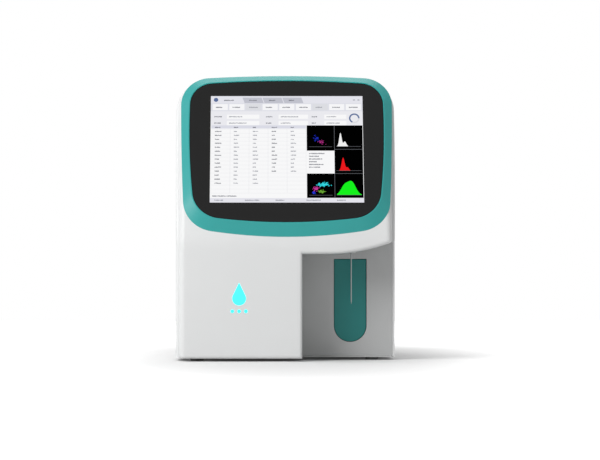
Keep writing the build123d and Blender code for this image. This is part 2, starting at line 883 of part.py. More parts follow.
# Idler pin on the bracket
with BuildPart() as idler_pin:
    with BuildSketch(Plane.XZ.offset(-lift_plate_y)):
        with Locations((probe_x, pulley_low_z)):
            Circle(shaft_r)
    extrude(amount=lift_plate_y - belt_y + pulley_width / 2)
idler_pin.part.label = "idler_pin"
export_step(idler_pin.part, "parts/idler_pin.step")

# Belt pulleys: the motor's above and the idler below
for pulley_name, pulley_z in (("drive_pulley", pulley_top_z), ("idler_pulley", pulley_low_z)):
    with BuildPart() as pulley:
        with BuildSketch(Plane.XZ.offset(-belt_y - pulley_width / 2)):
            with Locations((probe_x, pulley_z)):
                Circle(pulley_r - seam)
                Circle(shaft_r + shaft_gap, mode=Mode.SUBTRACT)
        extrude(amount=pulley_width)
        with BuildSketch(Plane.XZ.offset(-belt_y - pulley_width / 2)):
            with Locations((probe_x, pulley_z)):
                with PolarLocations(pulley_r - seam, pulley_teeth):
                    Rectangle(tooth_gap, tooth_gap)
        extrude(amount=pulley_width, mode=Mode.SUBTRACT)
    pulley.part.label = pulley_name
    export_step(pulley.part, f"parts/{pulley_name}.step")

# Toothed belt round both pulleys
with BuildPart() as lift_belt:
    with BuildSketch(Plane.XZ.offset(-belt_y - belt_width / 2)):
        with Locations((probe_x, (pulley_low_z + pulley_top_z) / 2)):
            SlotCenterToCenter(pulley_top_z - pulley_low_z, 2 * (pulley_r + belt_thick), rotation=90)
            SlotCenterToCenter(pulley_top_z - pulley_low_z, 2 * pulley_r, rotation=90, mode=Mode.SUBTRACT)
    extrude(amount=belt_width)
lift_belt.part.label = "lift_belt"
export_step(lift_belt.part, "parts/lift_belt.step")

# Middle frame: upright sheet between the electronics and the fluid side, with a folded foot
frame_inset = 10.0
frame_slope = (30.0, 60.0)
frame_foot = 14.0
lift_shelf = 60.0
frame_front = bay_back + frame_inset
with BuildPart() as mid_frame:
    with BuildSketch(Plane.YZ.offset(frame_x)):
        with BuildLine():
            Polyline(
                (frame_front, base_z),
                (frame_front, frame_top - frame_slope[1]),
                (frame_front + frame_slope[0], frame_top),
                (panel_y - seam, frame_top),
                (panel_y - seam, base_z),
                close=True,
            )
        make_face()
    extrude(amount=frame_thick)
    with BuildSketch(Plane.XY.offset(base_z)):
        with Locations((frame_x, (frame_front + panel_y - seam) / 2)):
            Rectangle(frame_foot, panel_y - seam - frame_front, align=(Align.MIN, Align.CENTER))
    extrude(amount=frame_thick)
    # Shelf that carries the lift
    with BuildSketch(Plane.XZ.offset(-lift_plate_y - tab)):
        with Locations((frame_x, (lift_low + lift_top) / 2)):
            Rectangle(probe_x - lift_half - frame_x, lift_shelf, align=(Align.MIN, Align.CENTER))
    extrude(amount=tab)
mid_frame.part.label = "mid_frame"
export_step(mid_frame.part, "parts/mid_frame.step")

# Base tray: floor of the case, cut back behind the bay, with folded flanges
tray_half = half_case - wall - seam
tray_front = front_y + cover_depth + seam + wall + seam
tray_step = bay_back + wall + seam
foot_side = 30.0
foot_front = 50.0
foot_bay = 24.0
foot_rear = 40.0
foot_x = half_case - foot_side
foot_places = (
    (-foot_x, front_y + foot_front),
    (foot_x, bay_back + foot_bay),
    (-foot_x, back_y - foot_rear),
    (foot_x, back_y - foot_rear),
)
with BuildPart() as base_tray:
    with BuildSketch(Plane.XY.offset(foot_height)):
        with BuildLine():
            Polyline(
                (-tray_half, tray_front),
                (bay_left - wall - seam, tray_front),
                (bay_left - wall - seam, tray_step),
                (tray_half, tray_step),
                (tray_half, back_y),
                (-tray_half, back_y),
                close=True,
            )
        make_face()
    extrude(amount=base_thick)
    for side, start in ((-1, tray_front), (1, tray_step)):
        with BuildSketch(Plane.XY.offset(foot_height)):
            with Locations((side * tray_half, start)):
                Rectangle(
                    frame_thick,
                    panel_y - wall - seam - start,
                    align=(Align.MAX if side > 0 else Align.MIN, Align.MIN),
                )
        extrude(amount=flange)
    with BuildSketch(Plane.XY.offset(foot_height)):
        add(plan(tray_half))
    extrude(amount=flange, mode=Mode.INTERSECT)
    with BuildSketch(Plane.XY.offset(foot_height)):
        with Locations(*foot_places):
            Circle(stem_r)
    extrude(amount=base_thick, mode=Mode.SUBTRACT)
base_tray.part.label = "base_tray"
export_step(base_tray.part, "parts/base_tray.step")

# Rubber feet pushed into the base
foot_bevel = 1.0
foot_barb = 1.0
foot_barb_height = 2.0
for foot_name, foot_place in zip(("front_left", "front_right", "rear_left", "rear_right"), foot_places):
    with BuildPart() as foot:
        with BuildSketch(Plane.XY):
            with Locations(foot_place):
                Circle(foot_r)
        extrude(amount=foot_height)
        chamfer(foot.faces().sort_by(Axis.Z)[0].edges(), foot_bevel)
        with BuildSketch(Plane.XY.offset(foot_height)):
            with Locations(foot_place):
                Circle(stem_r)
        extrude(amount=base_thick)
        with BuildSketch(Plane.XY.offset(base_z)):
            with Locations(foot_place):
                Circle(stem_r + foot_barb)
        extrude(amount=foot_barb_height)
    foot.part.label = f"foot_{foot_name}"
    export_step(foot.part, f"parts/foot_{foot_name}.step")

# Rear panel: sheet with the cut-outs for fan, mains, fluid and data
fan_inset = 75.0
fan_drop = 164.0
fan_x = fan_inset - half_case
fan_z = case_height - fan_drop
fan_size = 80.0
fan_depth = 25.0
fan_hole = 37.5
fan_screw = 35.75
fan_screw_r = 2.1
fan_screws = [(fan_x + i * fan_screw, fan_z + j * fan_screw) for i in (-1, 1) for j in (-1, 1)]
power_z = 60.0
inlet_inset = 45.0
inlet_x = inlet_inset - half_case
inlet_width = 30.0
inlet_height = 22.0
rocker_shift = 45.0
rocker_x = inlet_x + rocker_shift
rocker_width = 21.0
rocker_height = 15.0
ground_shift = 40.0
ground_x = rocker_x + ground_shift
ground_r = 3.0
port_inset = 40.0
port_pitch = 20.0
port_x = [half_case - port_inset - port_pitch * n for n in range(4)]
port_z = 50.0
port_r = 4.0
usb_inset = 30.0
usb_pitch = 20.0
usb_drop = 69.0
usb_x = [usb_inset - half_case + usb_pitch * n for n in range(4)]
usb_z = case_height - usb_drop
usb_width = 13.0
usb_height = 6.0
serial_shift = 30.0
serial_x = usb_x[-1] + serial_shift
serial_width = 30.0
serial_height = 11.0
panel_back = panel_y + panel_thick
panel_plane = Plane.XZ.offset(-panel_back)
screw_rise = 30.0
screw_drop = 69.0
screw_high = case_height - screw_drop
screw_z = (screw_rise, (screw_rise + screw_high) / 2, screw_high)
screw_inset = 5.0
screw_places = [(side * (tray_half - screw_inset), z) for side in (-1, 1) for z in screw_z]
screw_r = 1.5
screw_head = 1.8
screw_rim = 1.5
with BuildPart() as rear_panel:
    with BuildSketch(panel_plane):
        add(arched(tray_half, base_z, case_height - wall - seam, housing_corner - wall - seam))
        with Locations((fan_x, fan_z)):
            Circle(fan_hole, mode=Mode.SUBTRACT)
        with Locations(*fan_screws):
            Circle(fan_screw_r, mode=Mode.SUBTRACT)
        with Locations((inlet_x, power_z)):
            Rectangle(inlet_width, inlet_height, mode=Mode.SUBTRACT)
        with Locations((rocker_x, power_z)):
            Rectangle(rocker_width, rocker_height, mode=Mode.SUBTRACT)
        with Locations(*[(x, port_z) for x in port_x]):
            Circle(port_r, mode=Mode.SUBTRACT)
        with Locations(*[(x, usb_z) for x in usb_x]):
            Rectangle(usb_width, usb_height, mode=Mode.SUBTRACT)
        with Locations((serial_x, usb_z)):
            Rectangle(serial_width, serial_height, mode=Mode.SUBTRACT)
        with Locations((ground_x, power_z)):
            Circle(ground_r, mode=Mode.SUBTRACT)
        with Locations(*screw_places):
            Circle(screw_r, mode=Mode.SUBTRACT)
    extrude(amount=panel_thick)
rear_panel.part.label = "rear_panel"
export_step(rear_panel.part, "parts/rear_panel.step")

# Screws round the rear panel
with BuildPart() as panel_screws:
    with BuildSketch(panel_plane):
        with Locations(*screw_places):
            Circle(screw_r + screw_rim)
    extrude(amount=-screw_head)
    with BuildSketch(panel_plane):
        with Locations(*screw_places):
            Circle(screw_r)
    extrude(amount=panel_thick)
panel_screws.part.label = "panel_screws"
export_step(panel_screws.part, "parts/panel_screws.step")

# Fan frame on the inner face of the rear panel, with struts that carry the rotor's pin
hub_r = 16.0
strut = 3.0
strut_lap = 0.5
fan_corner = 4.0
with BuildPart() as fan_frame:
    with BuildSketch(Plane.XZ.offset(-panel_y)):
        with Locations((fan_x, fan_z)):
            RectangleRounded(fan_size, fan_size, fan_corner)
            Circle(fan_hole, mode=Mode.SUBTRACT)
        with Locations(*fan_screws):
            Circle(fan_screw_r, mode=Mode.SUBTRACT)
    extrude(amount=fan_depth)
    with BuildSketch(Plane.XZ.offset(-panel_y + fan_depth - strut)):
        with Locations((fan_x, fan_z)):
            Circle(hub_r)
            Rectangle(2 * (fan_hole + strut_lap), 2 * strut)
            Rectangle(2 * strut, 2 * (fan_hole + strut_lap))
    extrude(amount=strut)
    with BuildSketch(Plane.XZ.offset(-panel_y + fan_depth - strut)):
        with Locations((fan_x, fan_z)):
            Circle(shaft_r)
    extrude(amount=-fan_depth / 2)
fan_frame.part.label = "fan_frame"
export_step(fan_frame.part, "parts/fan_frame.step")

# Fan rotor: hub with seven pitched blades
blade_count = 7
blade_pitch = 35.0
blade_thick = 1.5
rotor_depth = 16.0
rotor_gap = 1.0
blade_root = 0.5
blade_gap = 2.5
rotor_front = panel_y - fan_depth + strut + rotor_gap
blade_length = fan_hole - blade_gap - hub_r + blade_root
blade_mid = (hub_r - blade_root + fan_hole - blade_gap) / 2
with BuildPart() as fan_rotor:
    for turn in range(blade_count):
        angle = 2 * pi * turn / blade_count
        blade_plane = Plane(
            origin=(
                fan_x + blade_mid * cos(angle),
                rotor_front + rotor_depth / 2,
                fan_z + blade_mid * sin(angle),
            ),
            x_dir=(cos(angle), 0, sin(angle)),
            z_dir=(
                -sin(angle) * cos(radians(blade_pitch)),
                sin(radians(blade_pitch)),
                cos(angle) * cos(radians(blade_pitch)),
            ),
        )
        with BuildSketch(blade_plane):
            Rectangle(blade_length, rotor_depth)
        extrude(amount=blade_thick / 2, both=True)
    with BuildSketch(Plane.XZ.offset(-rotor_front)):
        with Locations((fan_x, fan_z)):
            Circle(hub_r)
    extrude(amount=-rotor_depth)
    with BuildSketch(Plane.XZ.offset(-rotor_front)):
        with Locations((fan_x, fan_z)):
            Circle(shaft_r + shaft_gap)
    extrude(amount=-rotor_depth + strut, mode=Mode.SUBTRACT)
fan_rotor.part.label = "fan_rotor"
export_step(fan_rotor.part, "parts/fan_rotor.step")

# Wire guard over the fan's hole
guard_wire = 1.6
guard_eye = 3.8
guard_pitch = 8.0
guard_lap = 0.5
guard_count = 4
guard_rings = [fan_hole + guard_lap - guard_pitch * n for n in range(guard_count)]
with BuildPart() as fan_guard:
    with BuildSketch(panel_plane):
        with Locations((fan_x, fan_z)):
            for ring_r in guard_rings:
                Circle(ring_r + guard_wire / 2)
                Circle(ring_r - guard_wire / 2, mode=Mode.SUBTRACT)
            for turn in (45, -45):
                Rectangle(2 * guard_wire, 2 * sqrt(2) * fan_screw, rotation=turn)
            Circle(guard_pitch)
        with Locations(*fan_screws):
            Circle(guard_eye)
            Circle(fan_screw_r, mode=Mode.SUBTRACT)
    extrude(amount=-guard_wire)
fan_guard.part.label = "fan_guard"
export_step(fan_guard.part, "parts/fan_guard.step")

# Mains inlet: moulded socket with three flat pins
inlet_rim = 3.0
inlet_body = 24.0
socket_depth = 17.0
pin_length = 10.0
pin_size = (2.0, 5.0)
pin_places = ((-7.0, -1.5), (0.0, 2.5), (7.0, -1.5))
inlet_lip = 2.0
inlet_wall = 3.0
inlet_corner = 3.0
socket_corner = 2.0
with BuildPart() as power_inlet:
    with BuildSketch(panel_plane):
        with Locations((inlet_x, power_z)):
            RectangleRounded(inlet_width + 2 * inlet_rim, inlet_height + 2 * inlet_rim, inlet_corner)
    extrude(amount=-inlet_lip)
    with BuildSketch(panel_plane):
        with Locations((inlet_x, power_z)):
            Rectangle(inlet_width - 2 * seam, inlet_height - 2 * seam)
    extrude(amount=inlet_body)
    with BuildSketch(panel_plane.offset(-inlet_lip)):
        with Locations((inlet_x, power_z)):
            RectangleRounded(inlet_width - 2 * inlet_wall, inlet_height - 2 * inlet_wall, socket_corner)
    extrude(amount=socket_depth, mode=Mode.SUBTRACT)
    with BuildSketch(panel_plane.offset(socket_depth - inlet_lip)):
        with Locations((inlet_x, power_z)):
            with Locations(*pin_places):
                Rectangle(*pin_size)
    extrude(amount=-pin_length)
power_inlet.part.label = "power_inlet"
export_step(power_inlet.part, "parts/power_inlet.step")

# Mains switch: frame snapped into the panel, and the rocker in it
rocker_swing = 16.0
rocker_gap = 0.4
rocker_pin_r = 1.2
rocker_y = panel_back - 4.0
frame_wall = 1.5
frame_rim = 2.0
frame_lip = 1.5
frame_depth = 20.0
frame_well = 18.0
with BuildPart() as switch_frame:
    with BuildSketch(panel_plane):
        with Locations((rocker_x, power_z)):
            RectangleRounded(rocker_width + 2 * frame_rim, rocker_height + 2 * frame_rim, frame_lip)
    extrude(amount=-frame_lip)
    with BuildSketch(panel_plane):
        with Locations((rocker_x, power_z)):
            Rectangle(rocker_width - 2 * seam, rocker_height - 2 * seam)
    extrude(amount=frame_depth)
    with BuildSketch(panel_plane.offset(-frame_lip)):
        with Locations((rocker_x, power_z)):
            Rectangle(rocker_width - 2 * seam - 2 * frame_wall, rocker_height - 2 * seam - 2 * frame_wall)
    extrude(amount=frame_well, mode=Mode.SUBTRACT)
    with BuildSketch(Plane.YZ.offset(rocker_x)):
        with Locations((rocker_y, power_z)):
            Circle(rocker_pin_r)
    extrude(amount=rocker_width / 2 - frame_wall, both=True)
switch_frame.part.label = "switch_frame"
export_step(switch_frame.part, "parts/switch_frame.step")

# Rocker: two faces meeting in a shallow valley, tilted to its off side about the pin
rocker_rise = 7.0
rocker_valley = 5.8
rocker_half = rocker_height / 2 - seam - frame_wall - 2 * rocker_gap
tilt = radians(rocker_swing / 2)
rocker_plane = Plane(origin=(rocker_x, rocker_y, power_z), x_dir=(0, cos(tilt), sin(tilt)), z_dir=(1, 0, 0))
with BuildPart() as power_rocker:
    with BuildSketch(rocker_plane):
        with BuildLine():
            Polyline(
                (rocker_rise, -rocker_half),
                (rocker_valley, 0),
                (rocker_rise, rocker_half),
                (-rocker_pin_r, rocker_half / 2),
                (-2 * rocker_pin_r, 0),
                (-rocker_pin_r, -rocker_half / 2),
                close=True,
            )
        make_face()
        Circle(rocker_pin_r + shaft_gap, mode=Mode.SUBTRACT)
    extrude(amount=rocker_width / 2 - seam - frame_wall - rocker_gap, both=True)
power_rocker.part.label = "power_rocker"
export_step(power_rocker.part, "parts/power_rocker.step")

# Barbed ports for diluent, lyse and waste
port_bore = 1.2
port_stem = 3.0
port_barb = 3.6
port_rim = 2.3
port_nut = 4.0
port_tail = 14.0
rear_gap = 1.0
with BuildPart() as fluid_ports:
    with BuildSketch(Plane.XY):
        with BuildLine():
            Polyline(
                (port_bore, panel_y - port_tail),
                (port_stem, panel_y - port_tail),
                (port_stem, panel_y - port_nut),
                (port_r + port_rim, panel_y - port_nut),
                (port_r + port_rim, panel_y),
                (port_r - seam, panel_y),
                (port_r - seam, panel_back),
                (port_r + port_rim, panel_back),
                (port_r + port_rim, panel_back + port_rim),
                (port_stem, panel_back + port_rim),
                (port_barb, panel_back + 2 * port_rim),
                (port_bore, back_y - rear_gap),
                close=True,
            )
        make_face()
    revolve(axis=Axis.Y)
fluid_port_solids = [fluid_ports.part.moved(Location((x, 0, port_z))) for x in port_x]
with BuildPart() as reagent_ports:
    add(fluid_port_solids)
reagent_ports.part.label = "reagent_ports"
export_step(reagent_ports.part, "parts/reagent_ports.step")

# Data sockets on their board: four flat ports and a serial plug
io_rim = 2.0
io_depth = 40.0
usb_depth = 18.0
usb_wall = (1.2, 2.0)
usb_mouth = 10.0
usb_mouth_drop = 1.0
usb_foot = 14.0
usb_foot_gap = 2.0
serial_out = 4.0
serial_corner = 3.0
serial_depth = 24.0
io_floor = usb_z - serial_height / 2 + seam
io_width = serial_x + serial_width / 2 - usb_x[0] + usb_width + io_rim
with BuildPart() as io_board:
    with BuildSketch(Plane.XY.offset(io_floor)):
        with Locations((usb_x[0] - usb_width, panel_y - seam)):
            Rectangle(io_width, io_depth, align=(Align.MIN, Align.MAX))
    extrude(amount=-board_thick)
    with BuildSketch(panel_plane):
        with Locations(*[(x, usb_z) for x in usb_x]):
            Rectangle(usb_width - 2 * seam, usb_height - 2 * seam)
    extrude(amount=usb_depth)
    with BuildSketch(panel_plane):
        with Locations(*[(x, usb_z - usb_mouth_drop) for x in usb_x]):
            Rectangle(usb_width - 2 * usb_wall[0], usb_height - 2 * usb_wall[1])
    extrude(amount=usb_mouth, mode=Mode.SUBTRACT)
    with BuildSketch(panel_plane.offset(-serial_out)):
        with Locations((serial_x, usb_z)):
            RectangleRounded(serial_width - 2 * seam, serial_height - 2 * seam, serial_corner)
    extrude(amount=serial_depth)
    with BuildSketch(Plane.XY.offset(io_floor)):
        with Locations(*[(x, panel_y - usb_foot_gap) for x in usb_x]):
            Rectangle(usb_width - 2 * seam, usb_foot, align=(Align.CENTER, Align.MAX))
    extrude(amount=serial_height / 2)
io_board.part.label = "io_board"
export_step(io_board.part, "parts/io_board.step")

# Earth terminal: threaded stud with a knurled nut outside and a lock nut inside
nut_r = 5.5
nut_height = 6.0
lock_nut = 4.0
with BuildPart() as ground_post:
    with BuildSketch(Plane.XZ.offset(-panel_y + lock_nut)):
        with Locations((ground_x, power_z)):
            RegularPolygon(nut_r, 6)
    extrude(amount=-lock_nut)
    with BuildSketch(Plane.XZ.offset(-panel_y)):
        with Locations((ground_x, power_z)):
            Circle(ground_r - seam / 2)
    extrude(amount=-(back_y - panel_y - rear_gap))
    with BuildSketch(panel_plane):
        with Locations((ground_x, power_z)):
            RegularPolygon(nut_r, 16)
    extrude(amount=-nut_height)
ground_post.part.label = "ground_post"
export_step(ground_post.part, "parts/ground_post.step")

# Power supply: folded metal box on the base, left rear
supply_side_gap = 12.0
supply_back_gap = 36.0
supply_size = (56.0, 140.0, 44.0)
supply_edge = 1.5
vent_pitch = 8.0
vent_count = 5
vent_inset = 15.0
vent_width = 4.0
vent_depth = 2.0
supply_low = (supply_side_gap - half_case, panel_y - supply_back_gap - supply_size[1])
with BuildPart() as power_supply:
    with BuildSketch(Plane.XY.offset(base_z)):
        with Locations(supply_low):
            Rectangle(supply_size[0], supply_size[1], align=(Align.MIN, Align.MIN))
    extrude(amount=supply_size[2])
    chamfer(power_supply.faces().sort_by(Axis.Z)[-1].edges(), supply_edge)
    with BuildSketch(Plane.XY.offset(base_z + supply_size[2])):
        with Locations((supply_low[0] + supply_size[0] / 2, supply_low[1] + supply_size[1] / 2)):
            with GridLocations(vent_pitch, 0, vent_count, 1):
                SlotOverall(supply_size[1] - 2 * vent_inset, vent_width, rotation=90)
    extrude(amount=-vent_depth, mode=Mode.SUBTRACT)
power_supply.part.label = "power_supply"
export_step(power_supply.part, "parts/power_supply.step")

# Main board on posts on the left face of the middle frame
main_front_gap = 69.0
main_top_gap = 20.0
main_size = (190.0, 180.0)
main_mid = (bay_back + main_front_gap + main_size[0] / 2, frame_top - main_top_gap - main_size[1] / 2)
main_face = frame_x - post_height
main_post_inset = 6.0
# Chips, each as its shift from the board's middle, its width, height and depth
chips = (
    (-50.0, 40.0, 36.0, 36.0, 8.0),
    (20.0, 50.0, 24.0, 24.0, 3.0),
    (60.0, 10.0, 20.0, 30.0, 3.0),
    (-50.0, -50.0, 60.0, 12.0, 9.0),
    (40.0, -60.0, 80.0, 10.0, 9.0),
)
with BuildPart() as main_board:
    with BuildSketch(Plane.YZ.offset(main_face)):
        with Locations(main_mid):
            RectangleRounded(*main_size, board_corner)
    extrude(amount=-board_thick)
    with BuildSketch(Plane.YZ.offset(frame_x)):
        with Locations(main_mid):
            with GridLocations(main_size[0] - 2 * main_post_inset, main_size[1] - 2 * main_post_inset, 2, 2):
                Circle(post_r)
    extrude(amount=-post_height)
    for chip_y, chip_z, chip_w, chip_h, chip_d in chips:
        with BuildSketch(Plane.YZ.offset(main_face - board_thick)):
            with Locations((main_mid[0] + chip_y, main_mid[1] + chip_z)):
                Rectangle(chip_w, chip_h)
        extrude(amount=-chip_d)
main_board.part.label = "main_board"
export_step(main_board.part, "parts/main_board.step")

# Bath bracket: folded shelf on the middle frame that carries the two counting baths
frame_face = frame_x + frame_thick
bath_x = probe_x
bath_inset = 88.0
bath_pitch = 46.0
bath_y = (bay_back + bath_inset, bay_back + bath_inset + bath_pitch)
bath_r = 15.0
bath_wall = 2.0
bath_rise = 34.0
bath_top = lift_low + bath_rise
bath_depth = 36.0
bath_cone = 14.0
shelf_drop = 18.0
shelf_z = bath_top - shelf_drop
shelf_thick = 2.0
shelf_rim = 6.0
shelf_leg = 30.0
shelf_length = bath_y[1] - bath_y[0] + 2 * (bath_r + shelf_rim)
with BuildPart() as bath_bracket:
    with BuildSketch(Plane.XY.offset(shelf_z)):
        with Locations((frame_face, (bath_y[0] + bath_y[1]) / 2)):
            Rectangle(bath_x + bath_r + shelf_rim - frame_face, shelf_length, align=(Align.MIN, Align.CENTER))
        with Locations(*[(bath_x, y) for y in bath_y]):
            Circle(bath_r + seam, mode=Mode.SUBTRACT)
    extrude(amount=-shelf_thick)
    with BuildSketch(Plane.YZ.offset(frame_face)):
        with Locations(((bath_y[0] + bath_y[1]) / 2, shelf_z)):
            Rectangle(shelf_length, shelf_leg, align=(Align.CENTER, Align.MAX))
    extrude(amount=shelf_thick)
bath_bracket.part.label = "bath_bracket"
export_step(bath_bracket.part, "parts/bath_bracket.step")

# Counting baths: clear cups with a funnel floor, a rim on the shelf and a drain below
bath_rim = 3.0
drain_r = 3.0
drain_length = 8.0
bath_bend = 1.0
bath_floor = 3.0
cone_low = bath_top - bath_depth - bath_cone
for bath_name, bath_mid in zip(("white_cell_bath", "red_cell_bath"), bath_y):
    with BuildPart() as bath:
        with BuildSketch(Plane.XZ.offset(-bath_mid)):
            with BuildLine():
                Polyline(
                    (bath_x, cone_low - drain_length),
                    (bath_x + drain_r, cone_low - drain_length),
                    (bath_x + drain_r, cone_low),
                    (bath_x + bath_r, bath_top - bath_depth),
                    (bath_x + bath_r, shelf_z),
                    (bath_x + bath_r + bath_rim, shelf_z),
                    (bath_x + bath_r + bath_rim, shelf_z + bath_rim),
                    (bath_x + bath_r, shelf_z + bath_rim),
                    (bath_x + bath_r, bath_top),
                    (bath_x + bath_r - bath_wall, bath_top),
                    (bath_x + bath_r - bath_wall, bath_top - bath_depth + bath_bend),
                    (bath_x, cone_low + bath_floor),
                    close=True,
                )
            make_face()
        revolve(axis=Axis((bath_x, bath_mid, 0), (0, 0, 1)))
    bath.part.label = bath_name
    export_step(bath.part, f"parts/{bath_name}.step")

# Syringe frame: plate on two arms from the middle frame, with a tab for each barrel and each motor
syringe_inset = 38.0
syringe_shift = 58.0
syringe_pitch = 46.0
plate_shift = 22.0
syringe_x = half_case - syringe_inset
syringe_y = (bath_y[1] + syringe_shift, bath_y[1] + syringe_shift + syringe_pitch)
syringe_plate_x = syringe_x - plate_shift
barrel_r = 9.0
bore_r = 7.0
barrel_top = 236.0
barrel_mouth = 14.0
stroke = 40.0
piston = 8.0
piston_clear = 1.0
piston_low = barrel_top - wall - piston_clear - piston
barrel_low = piston_low - stroke - barrel_mouth
actuator_size = 35.0
actuator_top = 112.0
actuator_length = 30.0
syringe_mid = (syringe_y[0] + syringe_y[1]) / 2
plate_low = actuator_top - actuator_length
plate_margin = 2.0
plate_corner = 4.0
arm_inset = 20.0
arm_margin = 4.0
tab_hole_rim = 1.0
plate_width = syringe_y[1] - syringe_y[0] + actuator_size + 2 * plate_margin
with BuildPart() as syringe_frame:
    with BuildSketch(Plane.YZ.offset(syringe_plate_x)):
        with Locations((syringe_mid, (plate_low + barrel_top) / 2)):
            RectangleRounded(plate_width, barrel_top - plate_low, plate_corner)
    extrude(amount=frame_thick)
    for arm_z in (plate_low + arm_inset, barrel_top - arm_inset):
        with BuildSketch(Plane.XY.offset(arm_z)):
            with Locations(((frame_face + syringe_plate_x) / 2, syringe_mid)):
                Rectangle(syringe_plate_x - frame_face, plate_width - 2 * arm_margin)
        extrude(amount=frame_thick)
    for tab_z in (actuator_top, barrel_low - tab):
        with BuildSketch(Plane.XY.offset(tab_z)):
            with Locations((syringe_plate_x, syringe_mid)):
                Rectangle(
                    syringe_x + actuator_size / 2 - syringe_plate_x,
                    plate_width,
                    align=(Align.MIN, Align.CENTER),
                )
            with Locations(*[(syringe_x, y) for y in syringe_y]):
                Circle(bore_r - tab_hole_rim, mode=Mode.SUBTRACT)
        extrude(amount=tab)
syringe_frame.part.label = "syringe_frame"
export_step(syringe_frame.part, "parts/syringe_frame.step")

# Syringes: glass barrel, plunger with its screw, and the motor that drives it
piston_gap = 0.08
lead_low = 74.0
screw_shaft_r = 3.0
spout_r = 3.0
spout_length = 8.0
for number, y in enumerate(syringe_y, start=1):
    with BuildPart() as syringe_barrel:
        with BuildSketch(Plane.XY.offset(barrel_low)):
            with Locations((syringe_x, y)):
                Circle(barrel_r)
        extrude(amount=barrel_top - barrel_low)
        with BuildSketch(Plane.XY.offset(barrel_top)):
            with Locations((syringe_x, y)):
                Circle(spout_r)
        extrude(amount=spout_length)
        with BuildSketch(Plane.XY.offset(barrel_low)):
            with Locations((syringe_x, y)):
                Circle(bore_r)
        extrude(amount=barrel_top - barrel_low - wall, mode=Mode.SUBTRACT)
    syringe_barrel.part.label = f"syringe_barrel_{number}"
    export_step(syringe_barrel.part, f"parts/syringe_barrel_{number}.step")

    with BuildPart() as plunger:
        with BuildSketch(Plane.XY.offset(piston_low)):
            with Locations((syringe_x, y)):
                Circle(bore_r - piston_gap)
        extrude(amount=piston)
        with BuildSketch(Plane.XY.offset(lead_low)):
            with Locations((syringe_x, y)):
                Circle(screw_shaft_r)
        extrude(amount=piston_low - lead_low)
    plunger.part.label = f"syringe_plunger_{number}"
    export_step(plunger.part, f"parts/syringe_plunger_{number}.step")

    with BuildPart() as actuator:
        with BuildSketch(Plane.XY.offset(actuator_top)):
            with Locations((syringe_x, y)):
                RectangleRounded(actuator_size, actuator_size, motor_corner)
                Circle(screw_shaft_r + piston_gap, mode=Mode.SUBTRACT)
        extrude(amount=-actuator_length)
    actuator.part.label = f"syringe_motor_{number}"
    export_step(actuator.part, f"parts/syringe_motor_{number}.step")

# Optical bench: lidded metal block behind the bay, on the base
bench_shift = 20.0
bench_side_gap = 14.0
bench_inset = 32.0
bench_corner = 4.0
bench_lid = 4.0
bench_lid_inset = 6.0
bench_lid_corner = 3.0
tower_r = 11.0
tower_height = 14.0
bench_low = (frame_face + bench_shift, bay_back + bench_inset)
bench_size = (half_case - bench_side_gap - bench_low[0], 62.0, 52.0)
bench_mid = (bench_low[0] + bench_size[0] / 2, bench_low[1] + bench_size[1] / 2)
bench_top = base_z + bench_size[2]
with BuildPart() as optical_bench:
    with BuildSketch(Plane.XY.offset(base_z)):
        with Locations(bench_low):
            Rectangle(bench_size[0], bench_size[1], align=(Align.MIN, Align.MIN))
    extrude(amount=bench_size[2])
    fillet(optical_bench.edges().filter_by(Axis.Z), bench_corner)
    with BuildSketch(Plane.XY.offset(bench_top)):
        with Locations(bench_mid):
            RectangleRounded(
                bench_size[0] - 2 * bench_lid_inset, bench_size[1] - 2 * bench_lid_inset, bench_lid_corner
            )
    extrude(amount=bench_lid)
    with BuildSketch(Plane.XY.offset(bench_top + bench_lid)):
        with Locations(bench_mid):
            Circle(tower_r)
    extrude(amount=tower_height)
optical_bench.part.label = "optical_bench"
export_step(optical_bench.part, "parts/optical_bench.step")

# Diaphragm pumps lying on the base behind the bench
pump_shift = 44.0
pump_pitch = 44.0
pump_inset = 120.0
pump_x = (frame_face + pump_shift, frame_face + pump_shift + pump_pitch)
pump_y = bay_back + pump_inset
pump_r = 14.0
pump_length = 34.0
pump_head = (34.0, 22.0)
pump_head_corner = 3.0
pump_spout_r = 2.5
pump_spout_shift = 7.0
pump_spout_height = 8.0
for number, x in enumerate(pump_x, start=1):
    with BuildPart() as pump:
        with BuildSketch(Plane.XZ.offset(-pump_y)):
            with Locations((x, base_z + pump_r)):
                Circle(pump_r)
        extrude(amount=-pump_length)
        with BuildSketch(Plane.XZ.offset(-pump_y)):
            with Locations((x, base_z + pump_head[0] / 2)):
                RectangleRounded(pump_head[0], pump_head[0], pump_head_corner)
        extrude(amount=pump_head[1])
        with BuildSketch(Plane.XY.offset(base_z + pump_head[0])):
            with Locations(*[(x + side * pump_spout_shift, pump_y - pump_head[1] / 2) for side in (-1, 1)]):
                Circle(pump_spout_r)
        extrude(amount=pump_spout_height)
    pump.part.label = f"diaphragm_pump_{number}"
    export_step(pump.part, f"parts/diaphragm_pump_{number}.step")

